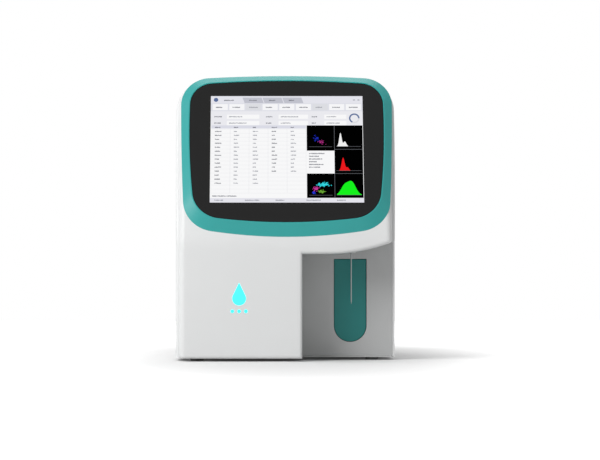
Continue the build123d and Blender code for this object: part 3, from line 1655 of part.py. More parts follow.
# Waste chamber: upright vessel at the rear
chamber_shift = 56.0
chamber_back_gap = 40.0
chamber_place = (frame_face + chamber_shift, panel_y - chamber_back_gap)
chamber_r = 20.0
chamber_height = 90.0
chamber_slope = 5.0
chamber_spouts = 3
chamber_spout_ring = 9.0
chamber_spout_r = 2.5
chamber_spout_height = 9.0
with BuildPart() as waste_chamber:
    with BuildSketch(Plane.XY.offset(base_z)):
        with Locations(chamber_place):
            Circle(chamber_r)
    extrude(amount=chamber_height)
    chamfer(waste_chamber.faces().sort_by(Axis.Z)[-1].edges(), chamber_slope)
    with BuildSketch(Plane.XY.offset(base_z + chamber_height)):
        with Locations(chamber_place):
            with PolarLocations(chamber_spout_ring, chamber_spouts):
                Circle(chamber_spout_r)
    extrude(amount=chamber_spout_height)
waste_chamber.part.label = "waste_chamber"
export_step(waste_chamber.part, "parts/waste_chamber.step")

# Valve block on the middle frame with its row of solenoid valves
valve_pitch = 26.0
valve_inset = 84.0
valve_drop = 38.0
valve_count = 8
valve_y = [bay_back + valve_inset + valve_pitch * n for n in range(valve_count)]
valve_z = frame_top - valve_drop
block_height = 16.0
block_reach = 40.0
valve_r = 9.0
valve_length = 34.0
valve_neck = 4.0
valve_cap = 6.0
valve_shoulder = 1.0
block_corner = 2.0
with BuildPart() as valve_block:
    with BuildSketch(Plane.XY.offset(valve_z)):
        with Locations((frame_face, (valve_y[0] + valve_y[-1]) / 2)):
            Rectangle(block_reach, valve_y[-1] - valve_y[0] + valve_pitch, align=(Align.MIN, Align.CENTER))
    extrude(amount=block_height)
    fillet(valve_block.edges().filter_by(Axis.Z), block_corner)
valve_block.part.label = "valve_block"
export_step(valve_block.part, "parts/valve_block.step")

with BuildPart() as solenoid_valves:
    with BuildSketch(Plane.YZ.offset(frame_face + block_reach)):
        with Locations(*[(y, valve_z + block_height / 2) for y in valve_y]):
            Circle(valve_r - valve_shoulder)
    extrude(amount=valve_length)
    with BuildSketch(Plane.YZ.offset(frame_face + block_reach + valve_neck)):
        with Locations(*[(y, valve_z + block_height / 2) for y in valve_y]):
            Rectangle(2 * valve_r, 2 * valve_r)
    extrude(amount=valve_length - valve_neck - valve_cap)
solenoid_valves.part.label = "solenoid_valves"
export_step(solenoid_valves.part, "parts/solenoid_valves.step")

# Side door: panel flush with the housing, with corner blocks for its hinge pins
hinge_y = door_back - hinge_inset
door_mid = ((door_front + door_back) / 2, (door_low + door_top) / 2)
block = 10.0
block_rim = 1.0
rib = 5.0
rib_side = 20.0
rib_end = 12.0
rib_width = door_back - door_front - 2 * rib_side
rib_height = door_top - door_low - 2 * rib_end
with BuildPart() as side_door:
    with BuildSketch(Plane.YZ.offset(half_case - wall)):
        with Locations(door_mid):
            RectangleRounded(door_back - door_front, door_top - door_low, door_corner)
    extrude(amount=wall)
    with BuildSketch(Plane.YZ.offset(half_case - wall)):
        with Locations((door_mid[0] - hinge_inset, door_mid[1])):
            RectangleRounded(rib_width, rib_height, door_corner)
            RectangleRounded(
                rib_width - 2 * wall, rib_height - 2 * wall, door_corner - wall, mode=Mode.SUBTRACT
            )
    extrude(amount=-rib)
    for block_z in (door_low, door_top - block):
        with BuildSketch(Plane.XY.offset(block_z)):
            with Locations((half_case - wall, hinge_y)):
                Rectangle(hinge_pin_r + block_rim, block, align=(Align.MAX, Align.CENTER))
        extrude(amount=block)
    with BuildSketch(Plane.XY.offset(door_low)):
        with Locations((hinge_x, hinge_y)):
            Circle(hinge_pin_r + shaft_gap)
    extrude(amount=block, mode=Mode.SUBTRACT)
    with BuildSketch(Plane.XY.offset(door_top - block)):
        with Locations((hinge_x, hinge_y)):
            Circle(hinge_pin_r + shaft_gap)
    extrude(amount=block, mode=Mode.SUBTRACT)
    with BuildSketch(Plane.YZ.offset(half_case - wall)):
        with Locations((door_front, door_mid[1])):
            SlotOverall(notch_length + notch_width, 2 * notch_width, rotation=90)
    extrude(amount=wall, mode=Mode.SUBTRACT)
side_door.part.label = "side_door"
export_step(side_door.part, "parts/side_door.step")

# Hinge pins through the housing's bosses into the door
pin_gap = 1.0
with BuildPart() as hinge_pins:
    for low in (door_low - door_gap - flange, door_top - block + pin_gap):
        with BuildSketch(Plane.XY.offset(low)):
            with Locations((hinge_x, hinge_y)):
                Circle(hinge_pin_r)
        extrude(amount=flange + door_gap + block - pin_gap)
hinge_pins.part.label = "hinge_pins"
export_step(hinge_pins.part, "parts/hinge_pins.step")
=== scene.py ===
import json
import math
import random

import bmesh
import bpy
from mathutils import Matrix, Vector


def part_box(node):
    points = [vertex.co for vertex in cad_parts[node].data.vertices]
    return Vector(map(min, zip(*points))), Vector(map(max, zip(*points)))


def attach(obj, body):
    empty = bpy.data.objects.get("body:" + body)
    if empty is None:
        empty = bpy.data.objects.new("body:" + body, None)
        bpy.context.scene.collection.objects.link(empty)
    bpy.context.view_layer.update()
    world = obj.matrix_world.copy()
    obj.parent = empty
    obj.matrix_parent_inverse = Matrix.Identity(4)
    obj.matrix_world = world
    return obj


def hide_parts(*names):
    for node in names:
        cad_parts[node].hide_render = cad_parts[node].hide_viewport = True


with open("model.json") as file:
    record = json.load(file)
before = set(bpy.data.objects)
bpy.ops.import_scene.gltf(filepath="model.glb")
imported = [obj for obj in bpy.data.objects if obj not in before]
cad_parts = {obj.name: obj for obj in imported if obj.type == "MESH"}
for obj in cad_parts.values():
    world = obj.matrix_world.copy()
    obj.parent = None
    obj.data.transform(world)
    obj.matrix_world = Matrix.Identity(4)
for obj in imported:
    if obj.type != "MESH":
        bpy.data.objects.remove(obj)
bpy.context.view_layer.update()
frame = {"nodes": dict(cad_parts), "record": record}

nodes = frame["nodes"]
millimetre = 0.001
mergeReach = 1e-5   # millimetres, between points of a drawn shape
solidReach = 1e-6   # metres, between points of a packed one
smoothAngle = math.radians(35)
toFront, toBack, toRight = (0, -1, 0), (0, 1, 0), (1, 0, 0)
upward, downward = (0, 0, 1), (0, 0, -1)


def addObject(name, data):
    made = bpy.data.objects.new(name, data)
    bpy.context.scene.collection.objects.link(made)
    return made


# Materials

def newMaterial(name):
    material = bpy.data.materials.new(name)
    material.use_nodes = True
    shader = material.node_tree.nodes["Principled BSDF"]
    return material, material.node_tree, shader


# Inputs by name, with an underscore for each space
def setInputs(node, **values):
    for key, value in values.items():
        node.inputs[key.replace("_", " ")].default_value = value


def addNode(tree, kind, **values):
    node = tree.nodes.new(kind)
    for key, value in values.items():
        if key.startswith("in_"):
            setInputs(node, **{key[3:]: value})
        else:
            setattr(node, key, value)
    return node


# Links, each given as a node and its output, then a node and its input
def join(tree, *links):
    for source, output, target, entry in links:
        tree.links.new(source.outputs[output], target.inputs[entry])


# The sRGB curve
def toLinear(colour):
    parts = [part / 255 for part in colour]
    return [part / 12.92 if part <= 0.04045 else ((part + 0.055) / 1.055) ** 2.4 for part in parts]


def shade(colour, factor):
    return [min(1.0, part * factor) for part in colour] + [1.0]


surfaceLook = {"driftDetail": 3.0, "grainDetail": 2.0, "rampLow": 0.35, "rampHigh": 0.65, "leastRough": 0.02,
               "bumpReach": 0.0004}


# A surface whose colour drifts a little, with a fine grain in its bump and its roughness
def surface(name, colour, rough, grain=900.0, grainDepth=0.06, drift=0.04, driftScale=9.0, metal=0.0,
            stretch=(1, 1, 1), roughDrift=0.05, specular=0.5):
    s = surfaceLook
    material, tree, shader = newMaterial(name)
    base = toLinear(colour)
    place = addNode(tree, "ShaderNodeTexCoord")
    mapping = addNode(tree, "ShaderNodeMapping", in_Scale=stretch)
    broad = addNode(tree, "ShaderNodeTexNoise", in_Scale=driftScale, in_Detail=s["driftDetail"])
    fine = addNode(tree, "ShaderNodeTexNoise", in_Scale=grain, in_Detail=s["grainDetail"])
    ramp = addNode(tree, "ShaderNodeValToRGB")
    low, high = ramp.color_ramp.elements
    low.position = s["rampLow"]
    high.position = s["rampHigh"]
    low.color = shade(base, 1 - drift)
    high.color = shade(base, 1 + drift)
    spread = addNode(tree, "ShaderNodeMapRange", in_To_Min=max(s["leastRough"], rough - roughDrift),
                     in_To_Max=rough + roughDrift)
    bump = addNode(tree, "ShaderNodeBump", in_Strength=grainDepth, in_Distance=s["bumpReach"])
    join(tree, (place, "Object", mapping, "Vector"), (mapping, "Vector", broad, "Vector"),
         (mapping, "Vector", fine, "Vector"), (broad, "Fac", ramp, "Fac"),
         (ramp, "Color", shader, "Base Color"), (fine, "Fac", spread, "Value"),
         (spread, "Result", shader, "Roughness"), (fine, "Fac", bump, "Height"),
         (bump, "Normal", shader, "Normal"))
    setInputs(shader, Metallic=metal, Specular_IOR_Level=specular)
    return material


finishes = {
    "casing": surface("casingWhite", (221, 222, 222), 0.42, grain=1500, grainDepth=0.03, drift=0.008,
                      specular=0.3),
    "teal": surface("bezelTeal", (40, 154, 151), 0.32, grain=1200, grainDepth=0.03, drift=0.02,
                    specular=0.4),
    "keyTeal": surface("keyTeal", (42, 122, 119), 0.4, grain=1200, grainDepth=0.03, drift=0.02,
                       specular=0.25),
    "glass": surface("glassBlack", (30, 30, 30), 0.2, grain=300, grainDepth=0.0, drift=0.02,
                     roughDrift=0.01, specular=0.12),
    "liner": surface("linerGrey", (184, 185, 185), 0.5, grain=1100, grainDepth=0.12, drift=0.02),
    "steel": surface("brightSteel", (190, 190, 188), 0.25, grain=600, grainDepth=0.04, metal=1.0,
                     stretch=(6, 6, 0.4)),
    "probeSteel": surface("needleSteel", (134, 138, 138), 0.34, grain=600, grainDepth=0.04, metal=1.0),
    "sheet": surface("zincSheet", (176, 179, 182), 0.38, grain=500, grainDepth=0.05, drift=0.08,
                     driftScale=45, metal=1.0),
    "machined": surface("machinedAluminium", (196, 198, 200), 0.3, grain=800, grainDepth=0.08, metal=1.0,
                        stretch=(1, 5, 1)),
    "board": surface("boardGreen", (24, 92, 58), 0.42, grain=700, grainDepth=0.08, drift=0.12,
                     driftScale=120),
    "black": surface("mouldedBlack", (34, 34, 35), 0.5, grain=1300, grainDepth=0.15, drift=0.05),
    "belt": surface("beltRubber", (36, 36, 36), 0.7, grain=1500, grainDepth=0.2, drift=0.05),
    "rubber": surface("footRubber", (176, 176, 176), 0.75, grain=1500, grainDepth=0.25, drift=0.06),
    "motor": surface("motorBlack", (40, 40, 43), 0.42, grainDepth=0.1, metal=0.6),
    "panel": surface("panelGrey", (196, 198, 199), 0.5, grain=1900, grainDepth=0.3, drift=0.02),
    "wire": surface("guardWire", (205, 206, 208), 0.18, grain=400, grainDepth=0.02, metal=1.0),
    "port": surface("portIvory", (222, 220, 208), 0.35, grainDepth=0.05),
    "brass": surface("studBrass", (205, 168, 92), 0.28, grain=700, grainDepth=0.06, metal=1.0),
    "pump": surface("pumpGrey", (62, 64, 68), 0.48, grain=1200, grainDepth=0.12),
    "wipe": surface("wipeWhite", (232, 232, 230), 0.3, grainDepth=0.04),
    "nickel": surface("shellNickel", (200, 198, 192), 0.24, grain=700, grainDepth=0.03, metal=1.0),
    "gold": surface("contactGold", (222, 180, 96), 0.22, grain=700, grainDepth=0.02, metal=1.0),
    "tongue": surface("tongueBlue", (38, 74, 150), 0.4, grain=1200, grainDepth=0.05),
    "ink": surface("tickInk", (44, 46, 52), 0.5, grain=1500, grainDepth=0.02),
    "chip": surface("chipGrey", (92, 84, 74), 0.45, grain=1500, grainDepth=0.1, drift=0.3, driftScale=160),
    "wireRed": surface("wireRed", (176, 40, 34), 0.42, grain=1500, grainDepth=0.04, drift=0.05),
    "wireBlack": surface("wireBlack", (30, 30, 32), 0.42, grain=1500, grainDepth=0.04, drift=0.05),
    "drain": surface("drainTubing", (206, 202, 186), 0.3, grainDepth=0.03),
}


clearLook = {"hazeScale": 60.0, "roughLow": 0.6, "roughHigh": 1.4, "bend": 1.45}


# A clear material that is hazy in places; milky is the share that light doesn't pass
def clearMaterial(name, colour, milky, rough):
    c = clearLook
    material, tree, shader = newMaterial(name)
    place = addNode(tree, "ShaderNodeTexCoord")
    haze = addNode(tree, "ShaderNodeTexNoise", in_Scale=c["hazeScale"])
    spread = addNode(tree, "ShaderNodeMapRange", in_To_Min=rough * c["roughLow"],
                     in_To_Max=rough * c["roughHigh"])
    join(tree, (place, "Object", haze, "Vector"), (haze, "Fac", spread, "Value"),
         (spread, "Result", shader, "Roughness"))
    setInputs(shader, Base_Color=toLinear(colour) + [1.0], Transmission_Weight=1 - milky, IOR=c["bend"])
    return material


finishes["barrel"] = clearMaterial("barrelGlass", (236, 244, 245), 0.1, 0.05)
finishes["tube"] = clearMaterial("siliconeTubing", (226, 232, 226), 0.45, 0.3)
finishes["clear"] = clearMaterial("bathAcrylic", (226, 236, 238), 0.3, 0.12)

litLook = {"glowScale": 140.0, "dim": 0.92, "rough": 0.25}


def litMaterial(name, colour, strength):
    material, tree, shader = newMaterial(name)
    base = toLinear(colour)
    place = addNode(tree, "ShaderNodeTexCoord")
    glow = addNode(tree, "ShaderNodeTexNoise", in_Scale=litLook["glowScale"])
    ramp = addNode(tree, "ShaderNodeValToRGB")
    low, high = ramp.color_ramp.elements
    low.color = shade(base, litLook["dim"])
    high.color = shade(base, 1.0)
    join(tree, (place, "Object", glow, "Vector"), (glow, "Fac", ramp, "Fac"),
         (ramp, "Color", shader, "Base Color"), (ramp, "Color", shader, "Emission Color"))
    setInputs(shader, Emission_Strength=strength, Roughness=litLook["rough"])
    return material


finishes["light"] = litMaterial("lightCyan", (62, 252, 250), 0.6)

slotFinish = {
    "casing_white": "casing", "teal_plastic": "teal", "screen_glass": "glass", "display_metal": "machined",
    "frame_steel": "sheet", "board_green": "board", "light_cyan": "light", "liner_grey": "liner",
    "black_plastic": "black", "wipe_white": "wipe", "bright_steel": "steel", "bare_aluminium": "machined",
    "belt_rubber": "belt", "foot_rubber": "rubber", "motor_black": "motor", "panel_grey": "panel",
    "guard_wire": "wire", "port_plastic": "port", "stud_brass": "brass", "clear_plastic": "clear",
    "barrel_glass": "barrel", "pump_grey": "pump",
}


def dressNodes():
    for part in frame["record"]["subparts"]:
        node = nodes[part["node"]]
        finish = finishes[slotFinish[part["material_slot"]]]
        if not node.material_slots:
            node.data.materials.append(finish)
        for slot in node.material_slots:
            slot.material = finish
    nodes["start_key"].material_slots[0].material = finishes["keyTeal"]
    nodes["probe"].material_slots[0].material = finishes["probeSteel"]
    print("nodes dressed")


# Geometry Nodes: a tree is built once, baked to a plain mesh, and its modifier is removed

def newTree(name, inputs):
    tree = bpy.data.node_groups.new(name, "GeometryNodeTree")
    face = tree.interface
    face.new_socket("Geometry", in_out="INPUT", socket_type="NodeSocketGeometry")
    sockets = {}
    for label, kind in inputs.items():
        sockets[label] = face.new_socket(label, in_out="INPUT", socket_type="NodeSocket" + kind).identifier
    face.new_socket("Geometry", in_out="OUTPUT", socket_type="NodeSocketGeometry")
    return tree, tree.nodes.new("NodeGroupInput"), sockets


def endTree(tree, start, grown, output):
    realize = tree.nodes.new("GeometryNodeRealizeInstances")
    finish = tree.nodes.new("GeometryNodeSetMaterial")
    end = tree.nodes.new("NodeGroupOutput")
    join(tree, (grown, output, realize, "Geometry"), (realize, "Geometry", finish, "Geometry"),
         (start, "Finish", finish, "Material"), (finish, "Geometry", end, "Geometry"))


def newPiece(name, mesh, body="case"):
    for face in mesh.polygons:
        face.use_smooth = True
    mesh.set_sharp_from_angle(angle=smoothAngle)
    piece = addObject(name, mesh)
    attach(piece, body)
    return piece


def bakeTree(name, grown, base, values, place=None):
    tree, sockets = grown
    holder = addObject(name + "Holder", base)
    modifier = holder.modifiers.new("grow", "NODES")
    modifier.node_group = tree
    for label, value in values.items():
        modifier[sockets[label]] = value
    graph = bpy.context.evaluated_depsgraph_get()
    mesh = bpy.data.meshes.new_from_object(holder.evaluated_get(graph), depsgraph=graph)
    holder.modifiers.remove(modifier)
    bpy.data.objects.remove(holder)
    mesh.name = name
    if place:
        mesh.transform(place)
    return newPiece(name, mesh)


treeSteps = {"tube": 8, "ring": 72, "wireSides": 8, "thread": 28, "threadSides": 6}


# Copies of a template on points, each turned to the point's facing and by a seeded angle about it
def placingTree():
    tree, start, sockets = newTree("placedCopies", {
        "Template": "Object", "Size": "Float", "Turn": "Float", "Seed": "Int", "Finish": "Material"})
    facing = addNode(tree, "GeometryNodeInputNamedAttribute", data_type="FLOAT_VECTOR", in_Name="facing")
    align = addNode(tree, "FunctionNodeAlignRotationToVector", axis="Z")
    chance = addNode(tree, "FunctionNodeRandomValue", data_type="FLOAT")
    angle = tree.nodes.new("ShaderNodeCombineXYZ")
    turned = addNode(tree, "FunctionNodeRotateRotation", rotation_space="LOCAL")
    shape = tree.nodes.new("GeometryNodeObjectInfo")
    copies = tree.nodes.new("GeometryNodeInstanceOnPoints")
    join(tree, (facing, "Attribute", align, "Vector"), (start, "Turn", chance, 3),
         (start, "Seed", chance, "Seed"), (chance, 1, angle, "Z"), (align, "Rotation", turned, "Rotation"),
         (angle, "Vector", turned, "Rotate By"), (start, "Template", shape, "Object"),
         (start, "Geometry", copies, "Points"), (shape, "Geometry", copies, "Instance"),
         (turned, "Rotation", copies, "Rotation"), (start, "Size", copies, "Scale"))
    endTree(tree, start, copies, "Instances")
    return tree, sockets


# Round tube along each line of edges, rounded through its points
def tubingTree():
    tree, start, sockets = newTree("tubeAlongLine", {"Radius": "Float", "Sides": "Int", "Finish": "Material"})
    line = tree.nodes.new("GeometryNodeMeshToCurve")
    kind = addNode(tree, "GeometryNodeCurveSplineType", spline_type="CATMULL_ROM")
    steps = addNode(tree, "GeometryNodeSetSplineResolution", in_Resolution=treeSteps["tube"])
    ring = tree.nodes.new("GeometryNodeCurvePrimitiveCircle")
    tube = addNode(tree, "GeometryNodeCurveToMesh", in_Fill_Caps=True)
    join(tree, (start, "Geometry", line, "Mesh"), (line, "Curve", kind, "Curve"),
         (kind, "Curve", steps, "Geometry"), (steps, "Geometry", tube, "Curve"),
         (start, "Sides", ring, "Resolution"), (start, "Radius", ring, "Radius"),
         (ring, "Curve", tube, "Profile Curve"))
    endTree(tree, start, tube, "Mesh")
    return tree, sockets


# Rings of wire, each a pitch smaller than the one outside it
def ringTree():
    tree, start, sockets = newTree("wireRings", {
        "Rings": "Int", "Outer": "Float", "Pitch": "Float", "Wire": "Float", "Finish": "Material"})
    points = tree.nodes.new("GeometryNodePoints")
    index = tree.nodes.new("GeometryNodeInputIndex")
    step = addNode(tree, "ShaderNodeMath", operation="MULTIPLY")
    reach = addNode(tree, "ShaderNodeMath", operation="SUBTRACT")
    circle = addNode(tree, "GeometryNodeCurvePrimitiveCircle", in_Resolution=treeSteps["ring"], in_Radius=1.0)
    copies = tree.nodes.new("GeometryNodeInstanceOnPoints")
    loose = tree.nodes.new("GeometryNodeRealizeInstances")
    section = addNode(tree, "GeometryNodeCurvePrimitiveCircle", in_Resolution=treeSteps["wireSides"])
    wire = tree.nodes.new("GeometryNodeCurveToMesh")
    join(tree, (start, "Rings", points, "Count"), (index, "Index", step, 0), (start, "Pitch", step, 1),
         (start, "Outer", reach, 0), (step, "Value", reach, 1), (points, 0, copies, "Points"),
         (circle, "Curve", copies, "Instance"), (reach, "Value", copies, "Scale"),
         (copies, "Instances", loose, "Geometry"), (loose, "Geometry", wire, "Curve"),
         (start, "Wire", section, "Radius"), (section, "Curve", wire, "Profile Curve"))
    endTree(tree, start, wire, "Mesh")
    return tree, sockets


# Screw thread: a helix of round wire
def threadTree():
    tree, start, sockets = newTree("threadHelix", {
        "Radius": "Float", "Turns": "Float", "Length": "Float", "Ridge": "Float", "Finish": "Material"})
    helix = addNode(tree, "GeometryNodeCurveSpiral", in_Resolution=treeSteps["thread"])
    section = addNode(tree, "GeometryNodeCurvePrimitiveCircle", in_Resolution=treeSteps["threadSides"])
    ridge = addNode(tree, "GeometryNodeCurveToMesh", in_Fill_Caps=True)
    join(tree, (start, "Turns", helix, "Rotations"), (start, "Radius", helix, "Start Radius"),
         (start, "Radius", helix, "End Radius"), (start, "Length", helix, "Height"),
         (start, "Ridge", section, "Radius"), (helix, "Curve", ridge, "Curve"),
         (section, "Curve", ridge, "Profile Curve"))
    endTree(tree, start, ridge, "Mesh")
    return tree, sockets


# Small parts strewn over a board, never closer than the spacing
def strewnTree():
    tree, start, sockets = newTree("strewnParts", {
        "Template": "Object", "Spacing": "Float", "Density": "Float", "Size": "Float", "Seed": "Int",
        "Finish": "Material"})
    spread = addNode(tree, "GeometryNodeDistributePointsOnFaces", distribute_method="POISSON")
    chance = addNode(tree, "FunctionNodeRandomValue", data_type="INT")
    quarter = addNode(tree, "ShaderNodeMath", operation="MULTIPLY")
    angle = tree.nodes.new("ShaderNodeCombineXYZ")
    turned = addNode(tree, "FunctionNodeRotateRotation", rotation_space="LOCAL")
    shape = tree.nodes.new("GeometryNodeObjectInfo")
    copies = tree.nodes.new("GeometryNodeInstanceOnPoints")
    chance.inputs[4].default_value = 0  # from none to three quarter turns
    chance.inputs[5].default_value = 3
    quarter.inputs[1].default_value = math.pi / 2
    join(tree, (start, "Geometry", spread, "Mesh"), (start, "Spacing", spread, "Distance Min"),
         (start, "Density", spread, "Density Max"), (start, "Seed", spread, "Seed"),
         (start, "Seed", chance, "Seed"), (chance, 2, quarter, 0), (quarter, "Value", angle, "Z"),
         (spread, "Rotation", turned, "Rotation"), (angle, "Vector", turned, "Rotate By"),
         (start, "Template", shape, "Object"), (spread, "Points", copies, "Points"),
         (shape, "Geometry", copies, "Instance"), (turned, "Rotation", copies, "Rotation"),
         (start, "Size", copies, "Scale"))
    endTree(tree, start, copies, "Instances")
    return tree, sockets


placedCopies = placingTree()
tubeAlongLine = tubingTree()
wireRings = ringTree()
threadHelix = threadTree()
strewnParts = strewnTree()


# Mesh helpers, in millimetres

def ringOfVerts(mesh, radius, height, sides):
    turns = [2 * math.pi * n / sides for n in range(sides)]
    return [mesh.verts.new((radius * math.cos(turn), radius * math.sin(turn), height)) for turn in turns]


def bridgeLoops(mesh, loops):
    for first, second in zip(loops, loops[1:]):
        for n in range(len(first)):
            after = (n + 1) % len(first)
            mesh.faces.new((first[n], first[after], second[after], second[n]))


# Walls between loops of as many points, with a lid on the first and the last
def closedLoops(mesh, loops):
    bridgeLoops(mesh, loops)
    mesh.faces.new(loops[0])
    mesh.faces.new(loops[-1])


# Profile of radii and heights turned about Z, where a radius of 0 is a single point
def turnedShape(mesh, profile, sides):
    rings = []
    for radius, height in profile:
        if radius == 0:
            rings.append([mesh.verts.new((0, 0, height))])
        else:
            rings.append(ringOfVerts(mesh, radius, height, sides))
    for low, high in zip(rings, rings[1:]):
        for n in range(sides):
            after = n + 1
            corners = [low[n % len(low)], low[after % len(low)], high[after % len(high)], high[n % len(high)]]
            mesh.faces.new(list(dict.fromkeys(corners)))
    for ring in (rings[0], rings[-1]):
        if len(ring) > 1:
            mesh.faces.new(ring)


def blockShape(mesh, low, high, bevel=0.0):
    made = bmesh.ops.create_cube(mesh, size=1.0)["verts"]
    middle = [(a + b) / 2 for a, b in zip(low, high)]
    size = [b - a for a, b in zip(low, high)]
    for vert in made:
        vert.co = Vector([vert.co[axis] * size[axis] + middle[axis] for axis in range(3)])
    if bevel:
        edges = list({edge for vert in made for edge in vert.link_edges})
        bmesh.ops.bevel(mesh, geom=edges, offset=bevel, segments=2, profile=0.5, affect="EDGES")


def prismShape(mesh, outline, low, high):
    closedLoops(mesh, [[mesh.verts.new((x, y, height)) for x, y in outline] for height in (low, high)])


# Mesh from a function that draws it in millimetres
def drawnMesh(name, draw, scale=millimetre):
    mesh = bmesh.new()
    draw(mesh)
    bmesh.ops.remove_doubles(mesh, verts=mesh.verts, dist=mergeReach)
    bmesh.ops.recalc_face_normals(mesh, faces=mesh.faces)
    data = bpy.data.meshes.new(name)
    mesh.to_mesh(data)
    mesh.free()
    data.transform(Matrix.Scale(scale, 4))
    return data


# Template for copies, left in millimetres because its tree scales them
def newTemplate(name, draw):
    return addObject(name, drawnMesh(name, draw, 1.0))


# Place of a piece that is drawn along Z: at a point in millimetres, facing the back or the front
def placeAt(point, towards=toBack):
    turn = -math.pi / 2 if towards == toBack else math.pi / 2
    return Matrix.Translation(Vector(point) * millimetre) @ Matrix.Rotation(turn, 4, "X")


# Points in millimetres, each with the way that its copy faces
def pointMesh(places):
    data = bpy.data.meshes.new("points")
    data.from_pydata([[part * millimetre for part in place] for place, _ in places], [], [])
    facing = data.attributes.new("facing", "FLOAT_VECTOR", "POINT")
    for index, (_, way) in enumerate(places):
        facing.data[index].vector = way
    return data


def lineMesh(lines):
    points = []
    edges = []
    for line in lines:
        first = len(points)
        points += [[part * millimetre for part in point] for point in line]
        edges += [(first + n, first + n + 1) for n in range(len(line) - 1)]
    data = bpy.data.meshes.new("lines")
    data.from_pydata(points, edges, [])
    return data


def boxOf(node):
    low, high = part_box(node)
    return low / millimetre, high / millimetre


# Boxes of a node's separate solids, in millimetres, from a merged copy of its mesh
def solidBoxes(node):
    mesh = bmesh.new()
    mesh.from_mesh(nodes[node].data)
    bmesh.ops.remove_doubles(mesh, verts=mesh.verts, dist=solidReach)
    left = set(mesh.verts)
    boxes = []
    for seed in mesh.verts:
        if seed not in left:
            continue
        left.discard(seed)
        front = [seed]
        group = []
        while front:
            vert = front.pop()
            group.append(vert.co / millimetre)
            for edge in vert.link_edges:
                other = edge.other_vert(vert)
                if other in left:
                    left.discard(other)
                    front.append(other)
        boxes.append((Vector([min(co[axis] for co in group) for axis in range(3)]),
                      Vector([max(co[axis] for co in group) for axis in range(3)])))
    mesh.free()
    return boxes


def middleOf(node):
    low, high = boxOf(node)
    return (low + high) / 2


# Kinds of piece: drawn once, copied to places, or run along lines

def drawnPiece(name, draw, finish, place=None):
    mesh = drawnMesh(name, draw)
    if place:
        mesh.transform(place)
    mesh.materials.append(finishes[finish])
    return newPiece(name, mesh)


def copiedPiece(name, draw, places, finish, size=1.0, turn=0.0, seed=0):
    template = newTemplate(name + "Template", draw)
    piece = bakeTree(name, placedCopies, pointMesh(places), {
        "Template": template, "Size": size * millimetre, "Turn": turn, "Seed": seed,
        "Finish": finishes[finish]})
    bpy.data.objects.remove(template)
    return piece


def tubePiece(name, lines, radius, sides, finish):
    return bakeTree(name, tubeAlongLine, lineMesh(lines), {
        "Radius": radius * millimetre, "Sides": sides, "Finish": finishes[finish]})


# Screws: pan heads with a cross recess, in shares of the head's radius

screw = {"sides": 24, "edge": 0.34, "shoulder": 0.94, "shoulderRise": 0.12, "dome": 0.6, "crown": 0.78,
         "slotHalf": 0.13, "slotReach": 0.46, "slotLip": 0.02, "slotFloor": 0.22, "slotTaper": 0.8,
         "turn": 1.5}


def drawScrewHead(mesh):
    s = screw
    rings = []
    for radius, height in ((1.0, 0.0), (1.0, s["edge"]), (s["shoulder"], s["edge"] + s["shoulderRise"]),
                           (s["crown"], s["dome"])):
        rings.append(ringOfVerts(mesh, radius, height, s["sides"]))
    bridgeLoops(mesh, rings)
    mesh.faces.new(rings[0])
    arm = [(s["slotReach"], -s["slotHalf"]), (s["slotReach"], s["slotHalf"]), (s["slotHalf"], s["slotHalf"])]
    outline = []
    for quarter in range(4):
        for x, y in arm:
            for _ in range(quarter):
                x, y = -y, x
            outline.append((x, y))
    top = [mesh.verts.new((x, y, s["dome"] + s["slotLip"])) for x, y in outline]
    floor = [mesh.verts.new((x * s["slotTaper"], y * s["slotTaper"], s["slotFloor"])) for x, y in outline]
    bridgeLoops(mesh, [top, floor])
    mesh.faces.new(floor)
    edges = []
    for loop in (top, rings[-1]):
        edges += [mesh.edges.get((loop[n], loop[(n + 1) % len(loop)])) for n in range(len(loop))]
    bmesh.ops.triangle_fill(mesh, use_beauty=True, edges=edges)


def screwPiece(name, places, radius, seed):
    return copiedPiece(name, drawScrewHead, places, "steel", radius, screw["turn"], seed)


# Rear: panel screws, fan screws and the fan's guard of round wire

rear = {
    "panelHead": 3.0, "panelSeed": 3, "fanHead": 3.4, "fanSeed": 5, "fanPitch": 35.75,
    "rings": 4, "ringOuter": 38.0, "ringPitch": 8.0, "wire": 0.8, "wireSides": 8, "barOffset": 0.77,
    "eye": 3.0, "eyeSides": 16, "hubSides": 40,
    "hubProfile": ((0, 0.2), (7.0, 0.2), (8.0, 0.6), (8.0, 1.2), (6.8, 1.5), (0, 1.2)),
}


def drawGuardHub(mesh):
    turnedShape(mesh, rear["hubProfile"], rear["hubSides"])


# Lines of the guard: two bars side by side on each diagonal, and a ring round each fan screw
def guardLines(fan, level, corners):
    lines = []
    reach = rear["fanPitch"] - rear["eye"] / math.sqrt(2)
    for slope in (1, -1):
        for side in (-1, 1):
            shift = side * rear["barOffset"]
            near = (fan.x - reach + slope * shift, level, fan.z - slope * reach - shift)
            far = (fan.x + reach + slope * shift, level, fan.z + slope * reach - shift)
            lines.append([near, [(a + b) / 2 for a, b in zip(near, far)], far])
    turns = [2 * math.pi * n / rear["eyeSides"] for n in range(rear["eyeSides"] + 1)]
    for x, z in corners:
        lines.append([(x + rear["eye"] * math.cos(turn), level, z + rear["eye"] * math.sin(turn))
                      for turn in turns])
    return lines


